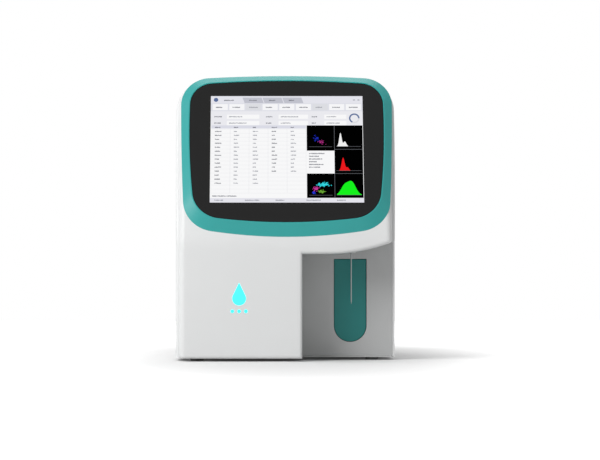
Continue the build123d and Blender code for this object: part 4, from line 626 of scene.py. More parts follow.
def buildRear():
    panelBack = boxOf("rear_panel")[1].y
    heads = [(((low.x + high.x) / 2, panelBack, (low.z + high.z) / 2), toBack)
             for low, high in solidBoxes("panel_screws")]
    panelScrews = screwPiece("rear_panel_screws", heads, rear["panelHead"], rear["panelSeed"])
    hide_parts("panel_screws")

    fan = middleOf("fan_frame")
    guardBack = boxOf("fan_guard")[1].y
    corners = [(fan.x + i * rear["fanPitch"], fan.z + j * rear["fanPitch"]) for i in (-1, 1) for j in (-1, 1)]
    screwPiece("fan_screws", [((x, guardBack, z), toBack) for x, z in corners], rear["fanHead"],
               rear["fanSeed"])

    level = panelBack + rear["wire"]
    ringPiece = bakeTree("fan_guard_rings", wireRings, bpy.data.meshes.new("none"), {
        "Rings": rear["rings"], "Outer": rear["ringOuter"] * millimetre,
        "Pitch": rear["ringPitch"] * millimetre, "Wire": rear["wire"] * millimetre,
        "Finish": finishes["wire"]}, placeAt((fan.x, level, fan.z), toFront))
    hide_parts("fan_guard")
    tubePiece("fan_guard_bars", guardLines(fan, level, corners), rear["wire"], rear["wireSides"], "wire")
    drawnPiece("fan_guard_hub", drawGuardHub, "wire", placeAt((fan.x, panelBack, fan.z)))
    print("rear screws and fan guard built")


# Data ports: metal shells on their board, in place of the plain ones

dataPorts = {
    "first": 13.0, "pitch": 20.0, "count": 4, "rise": 5.3, "out": 0.4,
    "boardThick": 1.6, "boardDrop": 5.2, "boardGap": 0.3, "boardEdge": 0.2,
    "shellHalfX": 6.2, "shellHalfZ": 2.7, "shellWall": 0.4, "shellDepth": 16.0, "shellFlare": 0.25,
    "tongueHalf": 4.9, "tongueLow": 0.2, "tongueThick": 1.4, "tongueRoot": 1.0, "tongueTip": 1.6,
    "tongueEdge": 0.2, "contacts": 4, "contactSpan": 7.0, "contactHalf": 0.45, "contactLow": 0.02,
    "contactTop": 0.24, "contactRoot": 2.0, "contactTip": 2.4,
}


# Open shell that widens a little to its mouth
def drawPortShell(mesh):
    c = dataPorts
    x, z, wall, depth = c["shellHalfX"], c["shellHalfZ"], c["shellWall"], c["shellDepth"]
    corners = ((-1, -1), (1, -1), (1, 1), (-1, 1))
    loops = []
    for halfX, halfZ, y in ((x, z, -depth), (x + c["shellFlare"], z + c["shellFlare"], 0.0),
                            (x - wall, z - wall, 0.0), (x - wall, z - wall, wall - depth)):
        loops.append([mesh.verts.new((i * halfX, y, j * halfZ)) for i, j in corners])
    closedLoops(mesh, loops)


def drawPortTongue(mesh):
    c = dataPorts
    blockShape(mesh, (-c["tongueHalf"], c["tongueRoot"] - c["shellDepth"], c["tongueLow"]),
               (c["tongueHalf"], -c["tongueTip"], c["tongueLow"] + c["tongueThick"]), c["tongueEdge"])


def drawPortContacts(mesh):
    c = dataPorts
    for n in range(c["contacts"]):
        x = c["contactSpan"] * (n / (c["contacts"] - 1) - 0.5)
        blockShape(mesh, (x - c["contactHalf"], c["contactRoot"] - c["shellDepth"], c["contactLow"]),
                   (x + c["contactHalf"], -c["contactTip"], c["contactTop"]))


def buildDataPorts():
    c = dataPorts
    low, high = boxOf("io_board")
    panelLow, panelHigh = boxOf("rear_panel")
    portZ = high.z - c["rise"]
    floor = portZ - c["boardDrop"]

    def drawBoard(mesh):
        blockShape(mesh, (low.x, low.y, floor - c["boardThick"]), (high.x, panelLow.y - c["boardGap"], floor),
                   c["boardEdge"])

    board = drawnPiece("socket_board", drawBoard, "board")
    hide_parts("io_board")

    places = [((low.x + c["first"] + c["pitch"] * n, panelHigh.y + c["out"], portZ), upward)
              for n in range(c["count"])]
    for name, draw, finish, slotName in (
            ("data_port_shells", drawPortShell, "nickel", "bright_steel"),
            ("data_port_tongues", drawPortTongue, "tongue", "black_plastic"),
            ("data_port_contacts", drawPortContacts, "gold", "stud_brass")):
        copiedPiece(name, draw, places, finish)
    print("data ports built")


# Serial plug: flange with a hood, an insert with its pins, and a jack post on each side

serial = {
    "fromRight": 17.0, "flangeX": 14.8, "flangeZ": 5.2, "flangeLow": -0.2, "flangeTop": 0.7,
    "hoodTop": 8.4, "hoodLow": 7.2, "hoodHalfZ": 4.0, "hoodOut": 3.6, "hoodWall": 0.5, "hoodFloor": 1.0,
    "hoodCut": 1.0, "insertGap": 0.55, "insertLow": 0.9, "insertTop": 2.6,
    "pinRows": ((1.4, 5), (-1.4, 4)), "pinPitch": 2.76, "pinOut": 2.5, "pinSides": 10,
    "pinProfile": ((0.5, 0), (0.5, 0.7), (0.3, 1.0), (0, 1.05)),
    "jackX": 12.4, "jackOut": 0.6, "jackSides": 6,
    "jackProfile": ((2.3, 0), (2.3, 2.4), (2.0, 2.7), (1.2, 2.7), (1.2, 1.2), (0, 1.2)),
}


def hoodOutline(grow):
    top, low, half = [serial[key] + grow for key in ("hoodTop", "hoodLow", "hoodHalfZ")]
    cut = serial["hoodCut"]
    return [(-low + cut, -half), (low - cut, -half), (low, -half + cut), (top, half - cut), (top - cut, half),
            (-top + cut, half), (-top, half - cut), (-low, -half + cut)]


def drawHood(mesh):
    s = serial
    halfX, halfZ = s["flangeX"], s["flangeZ"]
    flange = [(-halfX, -halfZ), (halfX, -halfZ), (halfX, halfZ), (-halfX, halfZ)]
    prismShape(mesh, flange, s["flangeLow"], s["flangeTop"])
    loops = []
    for grow, height in ((0.0, s["flangeTop"]), (0.0, s["hoodOut"]), (-s["hoodWall"], s["hoodOut"]),
                         (-s["hoodWall"], s["hoodFloor"])):
        loops.append([mesh.verts.new((x, z, height)) for x, z in hoodOutline(grow)])
    closedLoops(mesh, loops)


def drawInsert(mesh):
    prismShape(mesh, hoodOutline(-serial["insertGap"]), serial["insertLow"], serial["insertTop"])


def drawSerialPin(mesh):
    turnedShape(mesh, serial["pinProfile"], serial["pinSides"])


def drawJackPost(mesh):
    turnedShape(mesh, serial["jackProfile"], serial["jackSides"])


def buildSerial():
    s = serial
    high = boxOf("io_board")[1]
    panelBack = boxOf("rear_panel")[1].y
    midX, midZ = high.x - s["fromRight"], high.z - dataPorts["rise"]
    place = placeAt((midX, panelBack, midZ)) @ Matrix.Rotation(math.pi, 4, "Z")
    drawnPiece("serial_shell", drawHood, "nickel", place)
    drawnPiece("serial_insert", drawInsert, "black", place)
    pins = []
    for row, count in s["pinRows"]:
        for n in range(count):
            x = midX + (n - (count - 1) / 2) * s["pinPitch"]
            pins.append(((x, panelBack + s["pinOut"], midZ + row), toBack))
    copiedPiece("serial_pins", drawSerialPin, pins, "gold")
    jacks = [((midX + side * s["jackX"], panelBack + s["jackOut"], midZ), toBack) for side in (-1, 1)]
    copiedPiece("serial_jack_posts", drawJackPost, jacks, "nickel")
    print("serial plug built")


# Mains inlet blades, and the earth stud's thread

power = {
    "blades": ((-7.0, -1.5), (0, 2.5), (7.0, -1.5)), "bladeHalfX": 1.15, "bladeHalfZ": 2.65, "bladeOut": 10.4,
    "bladeSink": 0.1, "bladeEdge": 0.3, "socketDepth": 17.0, "rim": 2.0,
    "studRadius": 2.85, "studTurns": 5.0, "studLength": 4.6, "studTip": 0.4, "ridge": 0.34,
}


def buildPower():
    p = power
    inlet = middleOf("power_inlet")
    bottom = boxOf("rear_panel")[1].y + p["rim"] - p["socketDepth"]

    def drawBlades(mesh):
        for shiftX, shiftZ in p["blades"]:
            x, z = inlet.x + shiftX, inlet.z + shiftZ
            blockShape(mesh, (x - p["bladeHalfX"], bottom - p["bladeSink"], z - p["bladeHalfZ"]),
                       (x + p["bladeHalfX"], bottom + p["bladeOut"], z + p["bladeHalfZ"]), p["bladeEdge"])

    drawnPiece("inlet_blades", drawBlades, "nickel")

    stud = middleOf("ground_post")
    tip = boxOf("ground_post")[1].y - p["studTip"]
    bakeTree("earth_stud_thread", threadHelix, bpy.data.meshes.new("none"), {
        "Radius": p["studRadius"] * millimetre, "Turns": p["studTurns"],
        "Length": p["studLength"] * millimetre, "Ridge": p["ridge"] * millimetre,
        "Finish": finishes["brass"]}, placeAt((stud.x, tip, stud.z), toFront))
    print("inlet blades and stud thread built")


# Inside: screws on the bench's lid, the pumps, the brackets and the syringe motors

insideScrews = {
    "benchHead": 2.6, "benchInset": 11.0, "towerHeight": 14.0, "benchSeed": 21,
    "pumpHead": 1.9, "pumpInset": 4.0, "pumpFace": 34.0, "pumpSeed": 22,
    "plateHead": 2.4, "plateThick": 2.0, "plateInset": 8.0, "blockInsetX": 8.0, "blockInsetY": 6.0,
    "plateSeed": 23,
    "motorHead": 2.2, "motorInset": 4.5, "motorSeed": 24,
}


def buildInsideScrews():
    s = insideScrews
    low, high = boxOf("optical_bench")
    left, right = low.x + s["benchInset"], high.x - s["benchInset"]
    places = []
    for x in (left, (left + right) / 2, right):
        for y in (low.y + s["benchInset"], high.y - s["benchInset"]):
            places.append(((x, y, high.z - s["towerHeight"]), upward))
    screwPiece("bench_lid_screws", places, s["benchHead"], s["benchSeed"])

    places = []
    for node in ("diaphragm_pump_1", "diaphragm_pump_2"):
        low, high = boxOf(node)
        for x in (low.x + s["pumpInset"], high.x - s["pumpInset"]):
            for z in (low.z + s["pumpInset"], low.z + s["pumpFace"] - s["pumpInset"]):
                places.append(((x, low.y, z), toFront))
    screwPiece("pump_screws", places, s["pumpHead"], s["pumpSeed"])

    low, high = boxOf("bath_bracket")
    places = [((low.x + s["plateThick"], y, low.z + s["plateInset"]), toRight)
              for y in (low.y + s["plateInset"], high.y - s["plateInset"])]
    low, high = boxOf("valve_block")
    for x in (low.x + s["blockInsetX"], high.x - s["blockInsetX"]):
        for y in (low.y + s["blockInsetY"], high.y - s["blockInsetY"]):
            places.append(((x, y, high.z), upward))
    screwPiece("bracket_screws", places, s["plateHead"], s["plateSeed"])

    places = []
    for node in ("syringe_motor_1", "syringe_motor_2"):
        low, high = boxOf(node)
        for y in (low.y + s["motorInset"], high.y - s["motorInset"]):
            for z in (low.z + s["motorInset"], high.z - s["motorInset"]):
                places.append(((high.x, y, z), toRight))
    screwPiece("motor_screws", places, s["motorHead"], s["motorSeed"])
    print("inside screws placed")


# Graduations: curved ticks printed up each syringe's barrel

graduation = {"count": 17, "pitch": 3.4, "low": 6.0, "every": 4, "reach": 0.55, "longReach": 0.95,
              "half": 0.16, "radius": 9.06, "thick": 0.06, "steps": 8}


def buildGraduations():
    g = graduation

    def tickDrawer(reach):
        def drawTick(mesh):
            inner, outer, half = g["radius"], g["radius"] + g["thick"], g["half"]
            section = ((inner, -half), (outer, -half), (outer, half), (inner, half))
            loops = []
            for n in range(g["steps"] + 1):
                turn = reach * (2 * n / g["steps"] - 1)
                x, y = math.cos(turn), math.sin(turn)
                loops.append([mesh.verts.new((radius * x, radius * y, z)) for radius, z in section])
            closedLoops(mesh, loops)
        return drawTick

    short, long = [], []
    for node in ("syringe_barrel_1", "syringe_barrel_2"):
        middle = middleOf(node)
        foot = boxOf(node)[0].z + g["low"]
        for n in range(g["count"]):
            ticks = short if n % g["every"] else long
            ticks.append(((middle.x, middle.y, foot + n * g["pitch"]), upward))
    copiedPiece("syringe_graduations", tickDrawer(g["reach"]), short, "ink")
    copiedPiece("syringe_long_graduations", tickDrawer(g["longReach"]), long, "ink")
    print("syringe graduations drawn")


# Small parts on the main board: a block with a metal end on each side

boardParts = {
    "spacing": 5.0, "density": 90000.0, "seed": 11, "size": 1.1, "chipReach": 9.0, "lift": 0.02, "inset": 6.0,
    "blockHalf": (1.0, 0.6), "blockHigh": 0.9, "blockEdge": 0.12,
    "endX": 1.2, "endHalf": (0.22, 0.62), "endHigh": 0.92, "endEdge": 0.06,
}


def drawBoardPart(mesh):
    b = boardParts
    halfX, halfY = b["blockHalf"]
    blockShape(mesh, (-halfX, -halfY, 0), (halfX, halfY, b["blockHigh"]), b["blockEdge"])
    halfX, halfY = b["endHalf"]
    for x in (-b["endX"], b["endX"]):
        blockShape(mesh, (x - halfX, -halfY, 0), (x + halfX, halfY, b["endHigh"]), b["endEdge"])


def buildBoardParts():
    b = boardParts
    low, high = boxOf("main_board")
    face = low.x + b["chipReach"] + b["lift"]  # board face, under its tallest chip
    near, far = low.y + b["inset"], high.y - b["inset"]
    under, over = low.z + b["inset"], high.z - b["inset"]
    corners = [(face, near, under), (face, near, over), (face, far, over), (face, far, under)]
    base = bpy.data.meshes.new("boardFace")
    base.from_pydata([[part * millimetre for part in corner] for corner in corners], [], [(0, 1, 2, 3)])
    base.update()
    if base.polygons[0].normal.x > 0:
        base.flip_normals()
    template = newTemplate("boardPart", drawBoardPart)
    bakeTree("board_small_parts", strewnParts, base, {
        "Template": template, "Spacing": b["spacing"] * millimetre, "Density": b["density"],
        "Size": b["size"] * millimetre, "Seed": b["seed"], "Finish": finishes["chip"]})
    bpy.data.objects.remove(template)
    print("board parts strewn")


# Tubing: each route runs between what it joins, over bends given in millimetres from its two ends,
# and keeps clear of the carriage, the plungers and the door

tubing = {
    "radius": 1.6, "drainRadius": 2.3, "sides": 12, "portPitch": 8.0, "backWall": 168.0, "backStagger": 3.0,
    "pumpPortIn": 11.0, "pumpPortSide": 7.0, "chamberPorts": ((-7.0, 240), (7.0, 120)), "chamberPortOut": 9.0,
    "fittingSides": 12,
    "fittingProfile": ((3.0, 0), (3.0, 3.2), (2.6, 3.6), (2.6, 4.4), (2.0, 7.0), (1.7, 8.0), (0, 8.0)),
}


def drawFitting(mesh):
    turnedShape(mesh, tubing["fittingProfile"], tubing["fittingSides"])


# Four tubes from the reagent ports, up behind the frame, to the valve block's underside
def reagentLines():
    low, high = boxOf("valve_block")
    left = (low.x + high.x) / 2 - 1.5 * tubing["portPitch"]
    endY, under = high.y - 10, low.z
    lines = []
    ports = sorted(((low + high) / 2, low.y) for low, high in solidBoxes("reagent_ports"))
    for n, (middle, tail) in enumerate(ports):
        x, z = middle.x, middle.z
        endX = left + tubing["portPitch"] * n
        back = tubing["backWall"] + tubing["backStagger"] * (n % 2)
        lines.append([(x, tail + 2, z), (x, tail - 4, z), (x - 1, back, z + 16),
                      (x - 6 - 6 * n, back - 2, z + 66), (endX + 8, back - 10, under - 60),
                      (endX + 1, endY + 3, under - 20), (endX, endY, under)])
    return lines


# One tube from each syringe and two from each bath, to the valve block's top
def upperLines():
    blockX, over = middleOf("valve_block").x, boxOf("valve_block")[1].z
    lines = []
    for node, shift in (("syringe_barrel_1", 4), ("syringe_barrel_2", -8)):
        x, y, top = *middleOf(node).xy, boxOf(node)[1].z
        endX, endY = blockX + 6, y + shift
        lines.append([(x, y, top - 5), (x, y, top + 6), (x - 8, y, top + 34), (x - 34, y - 2, over + 26),
                      (endX + 14, endY, over + 26), (endX + 1, endY, over + 12), (endX, endY, over)])
    for node in ("white_cell_bath", "red_cell_bath"):
        x, y, top = *middleOf(node).xy, boxOf(node)[1].z
        for side in (-1, 1):
            endX, endY = blockX - 4 + 6 * side, y + 8 + 5 * side
            lines.append([(x + 5 * side, y + 4, top - 12), (x + 5 * side, y + 4, top + 8),
                          (x + 2 + 3 * side, y + 8, top + 50), (x - 6, y + 10, over + 16),
                          (endX + 24, endY + 2, over + 26 + 4 * side), (endX + 2, endY, over + 13),
                          (endX, endY, over)])
    return lines


# A drain from each bath to the second pump, and two from the first pump to the waste chamber
def drainLines():
    t = tubing
    lines = []
    low, high = boxOf("diaphragm_pump_2")
    endY, top = low.y + t["pumpPortIn"], high.z
    for node, side in (("white_cell_bath", -t["pumpPortSide"]), ("red_cell_bath", t["pumpPortSide"])):
        x, y, foot = *middleOf(node).xy, boxOf(node)[0].z
        endX = (low.x + high.x) / 2 + side
        lines.append([(x, y, foot + 5), (x, y, foot - 6), ((2 * x + endX) / 3, (2 * y + endY) / 3, foot - 30),
                      ((x + 2 * endX) / 3, (y + 5 * endY) / 6, foot - 52), (endX, endY, top + 10),
                      (endX, endY, top - 4)])
    low, high = boxOf("diaphragm_pump_1")
    startY, top = low.y + t["pumpPortIn"], high.z
    chamber, chamberTop = middleOf("waste_chamber"), boxOf("waste_chamber")[1].z
    for side, turn in t["chamberPorts"]:
        startX = (low.x + high.x) / 2 + side
        endX = chamber.x + t["chamberPortOut"] * math.cos(math.radians(turn))
        endY = chamber.y + t["chamberPortOut"] * math.sin(math.radians(turn))
        lines.append([(startX, startY, top - 4), (startX, startY, top + 10), (startX, startY + 24, top + 34),
                      (startX + side * 0.4, startY + 70, top + 60), (endX, endY - 26, chamberTop + 22),
                      (endX, endY - 2, chamberTop + 10), (endX, endY, chamberTop - 4)])
    return lines


def buildTubing():
    t = tubing
    reagents, uppers = reagentLines(), upperLines()
    fittings = [(line[-1], downward) for line in reagents] + [(line[-1], upward) for line in uppers]
    copiedPiece("tube_fittings", drawFitting, fittings, "port")
    tubePiece("sample_tubing", reagents + uppers, t["radius"], t["sides"], "tube")
    tubePiece("drain_tubing", drainLines(), t["drainRadius"], t["sides"], "drain")
    print("tubing routed")


# Wires: a red and a black one from each valve, gathered into a loom that runs down to the main board

wires = {"radius": 0.55, "sides": 8, "apart": 1.4, "spread": 1.6, "trunkIn": 5.0, "trunkRise": 5.0,
         "loomRadius": 2.6, "loomSides": 16}


def buildWires():
    w = wires
    low, high = boxOf("valve_block")
    near, far, over = low.y, high.y, high.z
    trunkX, trunkZ = low.x + w["trunkIn"], over + w["trunkRise"]
    for name, side, finish in (("valve_wires_red", -1, "wireRed"), ("valve_wires_black", 1, "wireBlack")):
        shift = w["apart"] * side
        strands = []
        for low, high in solidBoxes("solenoid_valves"):
            y = (low.y + high.y) / 2
            strands.append([
                (low.x + 12, y + shift, high.z - 0.5), (low.x + 9, y + shift, high.z + 4),
                (low.x - 6, y + shift * w["spread"], over + 5 + side),
                (trunkX + 10, y - 6 + shift, over + 4 - side), (trunkX + 2, y - 16 + shift, trunkZ),
                (trunkX, y - 24, trunkZ)])
        tubePiece(name, strands, w["radius"], w["sides"], finish)
    sheetTop = boxOf("mid_frame")[1].z
    low, high = boxOf("main_board")
    trunk = [(trunkX, far - 14, trunkZ), (trunkX, (near + far) / 2, trunkZ), (trunkX, near + 20, trunkZ),
             (trunkX - 1, near + 4, trunkZ + 8), (3, near - 4, sheetTop + 8), (-6, near - 4, sheetTop + 4),
             (low.x + 2, near + 2, sheetTop - 12), (low.x + 4, near + 12, high.z - 6)]
    tubePiece("wire_loom", [trunk], w["loomRadius"], w["loomSides"], "black")
    print("wires run")


# Screen picture

screen = {
    "width": 206.2, "height": 156.0, "right": 1.7, "rise": 2.8, "lift": 0.06, "layer": 0.015, "glow": 0.96,
    "barPale": (232, 232, 240), "tabGrey": (196, 197, 208), "rowPale": (226, 227, 235),
    "fieldPale": (238, 238, 243), "buttonFace": (250, 250, 252), "buttonOff": (224, 225, 230),
    "tableWhite": (252, 252, 253), "headPale": (222, 223, 234), "gridGrey": (222, 223, 228),
    "inkGrey": (112, 114, 124), "inkSoft": (150, 152, 162), "gaugeBlue": (92, 112, 156),
    "paneBlack": (1, 1, 1), "ruleGrey": (104, 106, 112), "plotRed": (238, 26, 30),
    "plotGreen": (22, 244, 30), "plotWhite": (244, 244, 244), "plotCyan": (52, 222, 232),
    "plotPink": (214, 60, 160), "plotBlue": (40, 60, 226), "plotLime": (120, 190, 60),
    "barHigh": 10.5, "buttonsLow": 22.5, "fieldsLow": 43.5, "rows": 17, "columns": 5,
    "lastRows": (14, 14, 14, 11, 11), "tableRight": 129.0, "tableLow": 13.5, "footHigh": 6.4, "rule": 0.25,
    "gridRule": 0.12, "gridPost": 0.14,
    "tabs": 3, "tabLeft": 46, "tabPitch": 27, "tabWide": 26, "tabLean": 3, "tabTop": 2.2, "tabText": 7.2,
    "buttons": 9, "buttonLeft": 2.5, "buttonPitch": 22.6, "buttonWide": 20.6, "buttonText": 17.6,
    "offButtons": (2, 6), "fields": ((22, 44), (92, 40), (154, 30)), "fieldText": 31.6, "fieldPitch": 9.4,
    "fieldMarks": (12, 16, 9), "listMarks": (14, 9, 12, 7, 13, 10),
    "markWide": 1.15, "markPitch": 1.5, "markHigh": 1.7, "markLayer": 4, "footJog": (0.0, 0.0, 0.35),
    "topJog": (0.0, 0.0, 0.4), "seed": 5, "cloudSpread": 0.42, "ringSides": 28, "gaugeSides": 19,
    "humpSteps": 40, "leastHump": 0.04,
    "slope": (0, -1, 0.3), "nearMatch": 0.9, "flatMatch": 0.999, "flatReach": 0.0002, "rough": 0.2,
    # Pane row, colour, and a middle, a spread and a height for each bell
    "curves": (
        (2, "plotWhite", ((0.16, 0.07, 0.95), (0.34, 0.08, 0.34))),
        (1, "plotRed", ((0.26, 0.085, 0.9), (0.44, 0.07, 0.22))),
        (0, "plotGreen", ((0.3, 0.2, 0.62), (0.6, 0.22, 0.88)))),
    # Pane row, middle, spread, count, colour and half a dot's width
    "clouds": (
        (0, (22, 19), (8, 3.6), 90, "plotCyan", 0.6),
        (0, (12, 13), (4.4, 4.2), 50, "plotPink", 0.42),
        (0, (20, 9), (5.0, 2.6), 40, "plotLime", 0.42),
        (0, (9, 8), (2.4, 2.4), 30, "plotBlue", 0.42),
        (2, (13, 15), (4.6, 6.4), 36, "plotBlue", 0.32),
        (2, (20, 11), (6.4, 3.4), 36, "plotPink", 0.3)),
}


# Middle of a node's flat face that looks a given way, with its right, its up and its normal
def faceFrame(node, towards):
    mesh = nodes[node].data
    look = Vector(towards).normalized()
    normal = Vector()
    for face in mesh.polygons:
        if face.normal.dot(look) > screen["nearMatch"]:
            normal += face.normal * face.area
    normal.normalize()
    flat = [face for face in mesh.polygons if face.normal.dot(normal) > screen["flatMatch"]]
    reach = max(face.center.dot(normal) for face in flat)
    flat = [face for face in flat if face.center.dot(normal) > reach - screen["flatReach"]]
    corners = [mesh.vertices[index].co for face in flat for index in face.vertices]
    right = Vector((1, 0, 0))
    up = normal.cross(right).normalized()
    low = min(corner.dot(up) for corner in corners)
    high = max(corner.dot(up) for corner in corners)
    return normal * reach + up * (low + high) / 2, right, up, normal


class Picture:
    def __init__(self, width, height):
        self.mesh = bmesh.new()
        self.tint = self.mesh.loops.layers.float_color.new("picture")
        self.width = width
        self.height = height
        self.chance = random.Random(screen["seed"])

    # Flat shape from corners in millimetres, measured from the picture's lower left
    def shape(self, corners, colour, layer):
        lift = screen["layer"] * layer
        verts = [self.mesh.verts.new((x - self.width / 2, y - self.height / 2, lift)) for x, y in corners]
        face = self.mesh.faces.new(verts)
        for loop in face.loops:
            loop[self.tint] = toLinear(colour) + [1.0]

    def block(self, left, low, right, top, colour, layer):
        self.shape([(left, low), (right, low), (right, top), (left, top)], colour, layer)

    # Row of small marks that stands for a word, with no letter in it
    def word(self, left, low, marks, colour):
        for n in range(marks):
            start = left + n * screen["markPitch"]
            foot = low + self.chance.choice(screen["footJog"])
            top = low + screen["markHigh"] - self.chance.choice(screen["topJog"])
            self.block(start, foot, start + screen["markWide"], top, colour, screen["markLayer"])

    # Sectors of a ring, from the first up to the last
    def ring(self, x, y, inner, outer, first, last, colour, layer):
        for n in range(first, last):
            a, b = [2 * math.pi * turn / screen["ringSides"] for turn in (n, n + 1)]
            corners = [(x + reach * math.cos(turn), y + reach * math.sin(turn))
                       for reach, turn in ((inner, a), (outer, a), (outer, b), (inner, b))]
            self.shape(corners, colour, layer)

    # Filled curve: a sum of bell shapes, each given as middle, spread and height in shares of the box
    def hump(self, box, colour, peaks):
        left, low, right, top = box
        steps = screen["humpSteps"]
        heights = []
        for n in range(steps + 1):
            u = n / steps
            total = sum(size * math.exp(-((u - mid) / spread) ** 2) for mid, spread, size in peaks)
            heights.append(min(1.0, total))
        for n in range(steps):
            a = left + (right - left) * n / steps
            b = left + (right - left) * (n + 1) / steps
            if heights[n] + heights[n + 1] > screen["leastHump"]:
                self.shape([(a, low), (b, low), (b, low + (top - low) * heights[n + 1]),
                            (a, low + (top - low) * heights[n])], colour, 4)

    def cloud(self, x, y, spreadX, spreadY, count, colour, size):
        for n in range(count):
            dotX = x + spreadX * self.chance.gauss(0, screen["cloudSpread"])
            dotY = y + spreadY * self.chance.gauss(0, screen["cloudSpread"])
            self.block(dotX - size, dotY - size, dotX + size, dotY + size, colour, 4 + n % 3)


def drawTopRows(art):
    s = screen
    w, h = s["width"], s["height"]
    bar, buttons, fields = [h - s[key] for key in ("barHigh", "buttonsLow", "fieldsLow")]
    art.block(0, bar, w, h, s["barPale"], 1)
    for n in range(s["tabs"]):
        left, top = s["tabLeft"] + n * s["tabPitch"], h - s["tabTop"]
        right = left + s["tabWide"]
        art.shape([(left, bar), (right, bar), (right - s["tabLean"], top), (left - s["tabLean"], top)],
                  s["tabGrey"], 2)
        art.word(left + 6, h - s["tabText"], 7 - n, s["inkGrey"])
    art.word(18, h - s["tabText"], 9, s["inkGrey"])
    art.ring(7, h - 5.6, 0, 3.0, 0, s["ringSides"], s["gaugeBlue"], 3)
    for n in range(2):
        art.block(w - 13 + n * 6, h - 6.4, w - 10 + n * 6, h - 5.2, s["inkSoft"], 3)
    art.block(0, buttons, w, bar, s["rowPale"], 1)
    for n in range(s["buttons"]):
        left = s["buttonLeft"] + n * s["buttonPitch"]
        off = n in s["offButtons"]
        art.block(left, buttons + 1.6, left + s["buttonWide"], bar - 1.4,
                  s["buttonOff" if off else "buttonFace"], 2)
        art.word(left + 4.4, h - s["buttonText"], 6 + n % 3, s["inkSoft" if off else "inkGrey"])
    art.block(0, fields, w, buttons, s["fieldPale"], 1)
    for row in range(2):
        for column, (left, wide) in enumerate(s["fields"]):
            low = h - s["fieldText"] - row * s["fieldPitch"]
            art.word(left - 17, low, 7 - row - column, s["inkGrey"])
            art.block(left, low - 2.2, left + wide, low + 4.0, s["tableWhite"], 2)
            art.word(left + 3, low, s["fieldMarks"][(row + column) % 3], s["inkSoft"])
    art.ring(w - 11.5, h - 33, 5.2, 7.2, 0, s["gaugeSides"], s["gaugeBlue"], 3)
    art.ring(w - 11.5, h - 33, 5.2, 7.2, s["gaugeSides"], s["ringSides"], s["gridGrey"], 3)


def drawTable(art):
    s = screen
    w, h = s["width"], s["height"]
    left, right, low, top = 1.0, s["tableRight"], s["tableLow"], h - s["fieldsLow"]
    art.block(0, 0, w, top, s["tableWhite"], 1)
    pitch = (top - low) / s["rows"]
    wide = (right - left) / s["columns"]
    art.block(left, top - pitch * 0.8, right, top, s["headPale"], 2)
    for row in range(1, s["rows"] + 1):
        y = top - row * pitch
        art.block(left, y - s["gridRule"], right, y + s["gridRule"], s["gridGrey"], 3)
    for column in range(1, s["columns"] + 1):
        x = left + column * wide
        art.block(x - s["gridPost"], low, x + s["gridPost"], top, s["gridGrey"], 3)
    for row in range(s["rows"]):
        for column in range(s["columns"]):
            if row > s["lastRows"][column]:
                continue
            marks = 3 + art.chance.randrange(3) + (column == 0)
            ink = s["inkGrey"] if column in (0, 3) or row == 0 else s["inkSoft"]
            art.word(left + column * wide + 5, top - (row + 0.68) * pitch, marks, ink)
    art.word(3, 8.4, 22, s["inkGrey"])
    art.block(0, 0, w, s["footHigh"], s["barPale"], 2)
    for n in range(5):
        art.word(6 + n * 41, 2.4, 8 + n % 2 * 5, s["inkSoft"])


def drawPanes(art):
    s = screen
    w, h = s["width"], s["height"]
    left, right = s["tableRight"] + 1.0, w - 0.6
    middle = (left + right) / 2 - 0.5
    top = h - s["fieldsLow"]
    low = 6.6
    rows = [low + (top - low) * n / 3 for n in range(4)]
    art.block(left, low, right, top, s["paneBlack"], 2)
    art.block(left, rows[1], middle, rows[2] - 2, s["tableWhite"], 3)
    for n, marks in enumerate(s["listMarks"]):
        art.word(left + 3, rows[2] - 7 - n * 4.0, marks, s["inkGrey"])
    for edge in rows[1:3]:
        art.block(middle, edge - s["rule"], right, edge + s["rule"], s["ruleGrey"], 3)
    art.block(middle - s["rule"], low, middle + s["rule"], top, s["ruleGrey"], 3)
    for row, colour, peaks in s["curves"]:
        box = (middle + 3, rows[row] + 4.5, right - 2.5, rows[row] + (rows[1] - rows[0]) * 0.72)
        art.hump(box, s[colour], peaks)
        art.block(box[0] - 0.8, box[1] - 0.5, box[2], box[1] - 0.1, s["ruleGrey"], 4)
    for row in (2, 0):
        art.block(left + 3, rows[row] + 3.6, middle - 3, rows[row] + 4.0, s["ruleGrey"], 4)
    for row, (x, y), (spreadX, spreadY), count, colour, size in s["clouds"]:
        art.cloud(left + x, rows[row] + y, spreadX, spreadY, count, s[colour], size)


def drawScreen():
    art = Picture(screen["width"], screen["height"])
    art.block(0, 0, screen["width"], screen["height"], screen["tableWhite"], 0)
    drawTopRows(art)
    drawTable(art)
    drawPanes(art)
    origin, right, up, normal = faceFrame("touch_glass", screen["slope"])
    mesh = bpy.data.meshes.new("screen_picture")
    art.mesh.to_mesh(mesh)
    art.mesh.free()
    turn = Matrix((right, up, normal)).transposed().to_4x4()
    place = origin + (normal * screen["lift"] + right * screen["right"] + up * screen["rise"]) * millimetre
    mesh.transform(Matrix.Translation(place) @ turn @ Matrix.Scale(millimetre, 4))
    picture = addObject("screen_picture", mesh)
    material, tree, shader = newMaterial("pictureLight")
    tint = addNode(tree, "ShaderNodeAttribute", attribute_name="picture")
    join(tree, (tint, "Color", shader, "Emission Color"))
    setInputs(shader, Base_Color=(0.0, 0.0, 0.0, 1.0), Emission_Strength=screen["glow"],
              Roughness=screen["rough"], Specular_IOR_Level=0.0)
    mesh.materials.append(material)
    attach(picture, "case")
    print("screen picture drawn")
